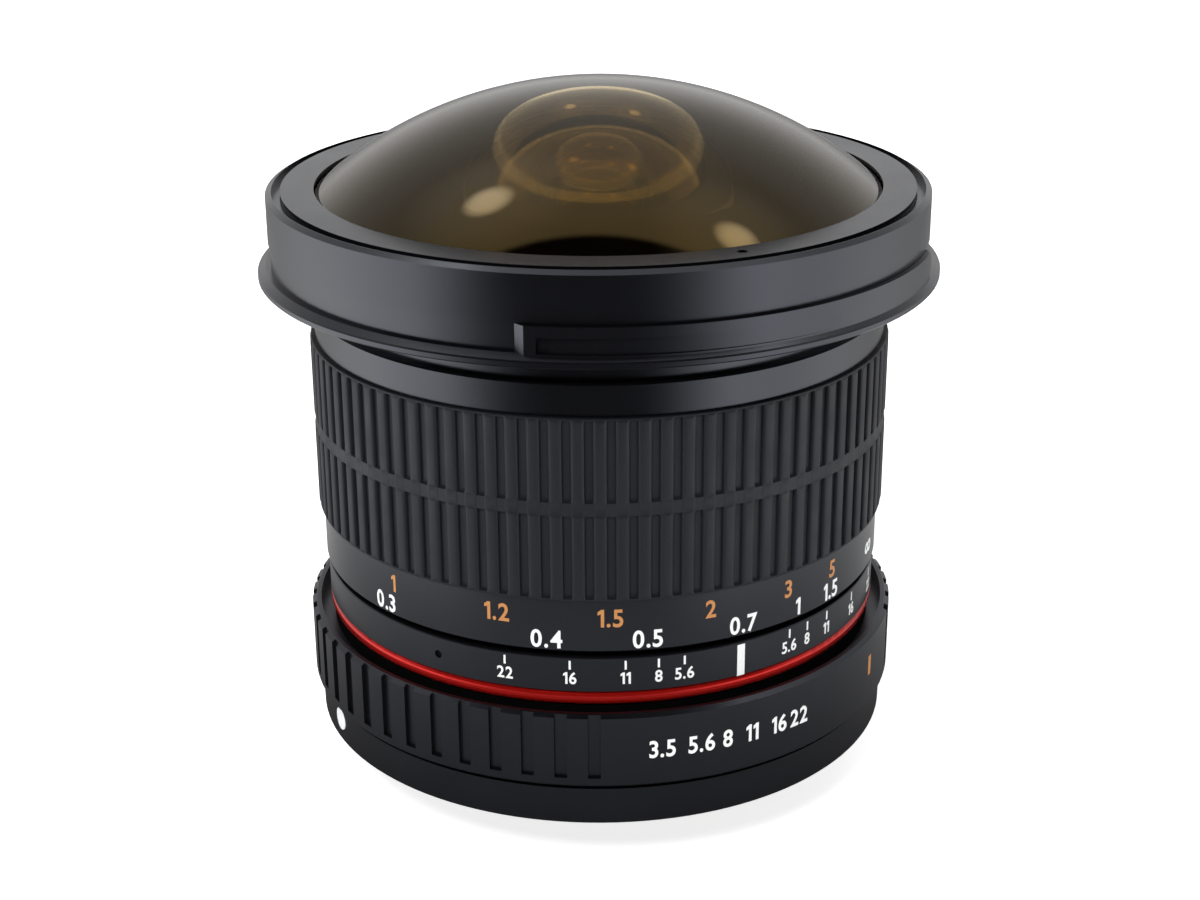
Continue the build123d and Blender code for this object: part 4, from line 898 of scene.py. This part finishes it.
class FISHEYE_OT_mount_dot(bpy.types.Operator):
    """Set the white dot that shows how the lens is turned into its camera"""
    bl_idname = "fisheye.mount_dot"
    bl_label = "Mounting dot"

    def execute(self, context):
        sizes = context.scene.fisheye_marks
        radius = radius_of("base_ring")
        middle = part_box("base_ring")[0].z + sizes.dot_middle
        around = 48
        shape = bmesh.new()
        rings = []
        for reach, outwards in DOT_PROFILE:
            surface = radius + outwards * sizes.paint
            ring = []
            for step in range(around):
                turn = 2 * pi * step / around
                across = reach * sizes.dot_radius * cos(turn)
                along = reach * sizes.dot_radius * sin(turn)
                azimuth = radians(DOT_AZIMUTH) + across / radius
                ring.append(shape.verts.new(on_ring(surface, azimuth, middle + along)))
            rings.append(ring)
        for first, second in zip(rings, rings[1:]):
            for step in range(around):
                after = (step + 1) % around
                shape.faces.new((first[step], first[after], second[after], second[step]))
        shape.faces.new(rings[0])
        shape.faces.new(rings[-1])
        add_piece(
            context, "mounting_dot", close_mesh("mounting_dot", shape),
            paint_of(context.scene, "white"), "barrel", sharp=DOT_SHARP_ANGLE,
        )
        return {"FINISHED"}


# Patches of light: the direction of each middle, and the angles from it, in degrees, between
# which the light fades
HIGH_SKY = ((0.0, 0.0, 1.0), 10, 45)
MIDDLE_SKY = ((0.0, 0.0, 1.0), 55, 80)
CLOTH = ((-0.03, -0.929, 0.369), 70, 72.5)
FRONT_CLOTH = ((-0.105, -0.995, 0.0), 18, 62)
RIGHT_WALL = ((0.94, 0.342, 0.0), 15, 60)
BACK_WALL = ((0.0, 1.0, 0.0), 10, 95)
LAMP_MIDDLES = ((-0.349, 0.344, 0.872), (0.465, 0.18, 0.867))
LAMP_FACE, LAMP_HALO = 5.5, 20
# Brightness of the sky's three bands and the lamps' halo, as parts of the sky's and the lamps'
ZENITH_PART, MIDDLE_PART, HORIZON_PART, HALO_PART = 1.3, 0.72, 1.1, 0.08
# Brightness of the cloth, and what the right and back walls leave of the low walls' light
CLOTH_LIGHT, RIGHT_PART, BACK_PART = 0.02, 0.72, 0.12
# Heights of a direction between which the low walls give way to the sky
HORIZON = (-0.05, 0.1)


def white_walls(scene, sizes):
    """White walls and sky with two soft lamps, and a black cloth behind and over the camera."""
    world = bpy.data.worlds.new("studio_walls")
    world.use_nodes = True
    tree = world.node_tree
    tree.nodes.clear()
    direction = add_node(tree, "ShaderNodeTexCoord").outputs["Generated"]

    def light_patch(towards, patch, within, beyond):
        """One brightness within a patch and another beyond it."""
        middle, inner, outer = patch
        facing = add_node(
            tree, "ShaderNodeVectorMath", {0: towards, 1: middle}, operation="DOT_PRODUCT"
        )
        inputs = {
            "Value": facing.outputs["Value"], "To Min": beyond, "To Max": within,
            "From Min": cos(radians(outer)), "From Max": cos(radians(inner)),
        }
        faded = add_node(tree, "ShaderNodeMapRange", inputs, interpolation_type="SMOOTHSTEP")
        return faded.outputs[0]

    above = light_patch(
        direction, HIGH_SKY, ZENITH_PART * sizes.sky, MIDDLE_PART * sizes.sky
    )
    above = light_patch(direction, MIDDLE_SKY, above, HORIZON_PART * sizes.sky)
    above = light_patch(direction, CLOTH, CLOTH_LIGHT, above)
    for middle in LAMP_MIDDLES:
        for reach, light in ((LAMP_FACE, sizes.lamps), (LAMP_HALO, HALO_PART * sizes.lamps)):
            lamp = light_patch(direction, (middle, 0, reach), light, 0.0)
            above = add_node(
                tree, "ShaderNodeMath", {0: above, 1: lamp}, operation="ADD"
            ).outputs[0]

    level = add_node(
        tree, "ShaderNodeVectorMath", {0: direction, 1: (1.0, 1.0, 0.0)}, operation="MULTIPLY"
    )
    level = add_node(
        tree, "ShaderNodeVectorMath", {0: level.outputs[0]}, operation="NORMALIZE"
    ).outputs[0]
    below = light_patch(level, FRONT_CLOTH, CLOTH_LIGHT, sizes.low)
    for wall, part in ((BACK_WALL, BACK_PART), (RIGHT_WALL, RIGHT_PART)):
        share = light_patch(level, wall, part, 1.0)
        below = add_node(
            tree, "ShaderNodeMath", {0: below, 1: share}, operation="MULTIPLY"
        ).outputs[0]

    height = add_node(tree, "ShaderNodeSeparateXYZ", {0: direction}).outputs["Z"]
    inputs = {"Value": height, "From Min": HORIZON[0], "From Max": HORIZON[1]}
    upper = add_node(tree, "ShaderNodeMapRange", inputs).outputs[0]
    light = add_node(tree, "ShaderNodeMix", {"Factor": upper, 2: below, 3: above}).outputs[0]
    inputs = {"Color": (1.0, 1.0, 1.0, 1.0), "Strength": light}
    glow = add_node(tree, "ShaderNodeBackground", inputs)
    add_node(tree, "ShaderNodeOutputWorld", {"Surface": glow.outputs[0]})
    scene.world = world


def softbox(scene, name, place, target, size, power):
    """A square area light that looks at a point."""
    lamp = bpy.data.lights.new(name, "AREA")
    lamp.shape = "SQUARE"
    lamp.size = size
    lamp.energy = power
    light = bpy.data.objects.new(name, lamp)
    scene.collection.objects.link(light)
    light.location = place
    towards = Vector(target) - Vector(place)
    light.rotation_euler = towards.to_track_quat("-Z", "Y").to_euler()
    return light


def disc(name, radius, material):
    """A flat disc at the height of the table."""
    shape = bmesh.new()
    bmesh.ops.create_circle(shape, cap_ends=True, segments=128, radius=radius)
    mesh = bpy.data.meshes.new(name)
    shape.to_mesh(mesh)
    shape.free()
    mesh.materials.append(material)
    return bpy.data.objects.new(name, mesh)


# The near table's light at the lens and further out, and the parts of its radius between which
# it grows, and between which it fades into the walls' light
NEAR_LIGHTS = (0.05, 0.8)
NEAR_GROWTH = (0.25, 0.7)
NEAR_FADE = (0.65, 1.0)


def near_table(scene, reach):
    """The table close to the lens as its upright faces mirror it: dim, fading out at its edge."""
    material = bpy.data.materials.new("opal_table_near")
    material.use_nodes = True
    tree = material.node_tree
    tree.nodes.clear()
    place = add_node(tree, "ShaderNodeTexCoord").outputs["Object"]
    distance = add_node(tree, "ShaderNodeVectorMath", {0: place}, operation="LENGTH")
    distance = distance.outputs["Value"]
    inputs = {
        "Value": distance, "To Min": NEAR_LIGHTS[0], "To Max": NEAR_LIGHTS[1],
        "From Min": NEAR_GROWTH[0] * reach, "From Max": NEAR_GROWTH[1] * reach,
    }
    strength = add_node(tree, "ShaderNodeMapRange", inputs).outputs[0]
    inputs = {
        "Value": distance, "From Min": NEAR_FADE[0] * reach, "From Max": NEAR_FADE[1] * reach,
    }
    fade = add_node(tree, "ShaderNodeMapRange", inputs, interpolation_type="SMOOTHSTEP")
    glow = add_node(tree, "ShaderNodeEmission", {"Strength": strength})
    clear = add_node(tree, "ShaderNodeBsdfTransparent")
    inputs = {0: fade.outputs[0], 1: glow.outputs[0], 2: clear.outputs[0]}
    both = add_node(tree, "ShaderNodeMixShader", inputs)
    add_node(tree, "ShaderNodeOutputMaterial", {"Surface": both.outputs[0]})
    table = disc("near_table", reach, material)
    table.visible_camera = False
    table.visible_diffuse = False
    table.visible_transmission = False
    table.visible_shadow = False
    scene.collection.objects.link(table)


# The high front light's place, what it looks at and its size, in metres
KEY_PLACE = (-0.25, -0.7, 0.9)
KEY_TARGET = (0, 0, 0.04)
KEY_SIZE = 0.35


class FISHEYE_OT_studio(bpy.types.Operator):
    """Set up the pale floor, the soft light and the camera"""
    bl_idname = "fisheye.studio"
    bl_label = "Studio"

    def execute(self, context):
        scene = context.scene
        sizes = scene.fisheye_studio
        scene.view_settings.view_transform = "Standard"
        # Opal acrylic, cast and lit from below: an even white that keeps only faint shadows
        opal, tree, shader = new_finish(
            "acrylic_opal_backlit", linear("#f4f4f4"),
            {"Roughness": 0.8, "Emission Color": (1.0, 1.0, 1.0, 1.0),
             "Emission Strength": sizes.table},
        )
        dress(tree, shader, relief=(pattern(tree, 1.5 * MM, 4.0), 0.01 * MM))
        floor = disc("floor", sizes.floor, opal)
        scene.collection.objects.link(floor)
        floor.visible_glossy = False
        near_table(scene, sizes.near)
        white_walls(scene, sizes)
        key = softbox(scene, "high_front_light", KEY_PLACE, KEY_TARGET, KEY_SIZE, sizes.key)
        key.visible_glossy = False
        key.visible_transmission = False
        camera = bpy.data.objects.new("camera", bpy.data.cameras.new("camera"))
        camera.data.sensor_width = 36.0
        camera.data.lens = sizes.focal
        camera.data.clip_start = 0.01
        tilt = Matrix.Rotation(pi / 2 - sizes.pitch, 4, "X")
        roll = Matrix.Rotation(-sizes.roll, 4, "Z")
        place = Matrix.Translation((0, -sizes.distance, sizes.height))
        camera.matrix_world = place @ tilt @ roll
        scene.collection.objects.link(camera)
        scene.camera = camera
        return {"FINISHED"}


GROUPS = {
    "fisheye_grip": GripSizes,
    "fisheye_sleeve": SleeveSizes,
    "fisheye_dome": DomeSizes,
    "fisheye_marks": MarkSizes,
    "fisheye_colours": LensColours,
    "fisheye_studio": StudioSizes,
}

OPERATORS = (
    FISHEYE_OT_finish_pieces,
    FISHEYE_OT_rubber_grip,
    FISHEYE_OT_focus_sleeve,
    FISHEYE_OT_front_glass,
    FISHEYE_OT_focus_scale,
    FISHEYE_OT_aperture_scale,
    FISHEYE_OT_index_marks,
    FISHEYE_OT_mount_dot,
    FISHEYE_OT_studio,
)


class FISHEYE_PT_lens(bpy.types.Panel):
    """The lens's sizes, colours and pieces"""
    bl_idname = "FISHEYE_PT_lens"
    bl_label = "Fisheye lens"
    bl_space_type = "VIEW_3D"
    bl_region_type = "UI"
    bl_category = "Fisheye lens"

    def draw(self, context):
        for name, group in GROUPS.items():
            box = self.layout.box()
            box.label(text=group.__doc__)
            for key in group.__annotations__:
                box.prop(getattr(context.scene, name), key)
        for operator in OPERATORS:
            self.layout.operator(operator.bl_idname)


def register():
    for name, group in GROUPS.items():
        bpy.utils.register_class(group)
        setattr(bpy.types.Scene, name, PointerProperty(type=group))
    for operator in OPERATORS:
        bpy.utils.register_class(operator)
    bpy.utils.register_class(FISHEYE_PT_lens)


def unregister():
    bpy.utils.unregister_class(FISHEYE_PT_lens)
    for operator in reversed(OPERATORS):
        bpy.utils.unregister_class(operator)
    for name, group in reversed(GROUPS.items()):
        delattr(bpy.types.Scene, name)
        bpy.utils.unregister_class(group)


def main():
    """Registers the classes and builds everything in order."""
    register()
    bpy.ops.fisheye.finish_pieces()
    bpy.ops.fisheye.rubber_grip()
    bpy.ops.fisheye.focus_sleeve()
    bpy.ops.fisheye.front_glass()
    bpy.ops.fisheye.focus_scale()
    bpy.ops.fisheye.aperture_scale()
    bpy.ops.fisheye.index_marks()
    bpy.ops.fisheye.mount_dot()
    bpy.ops.fisheye.studio()


if __name__ == "__main__":
    main()
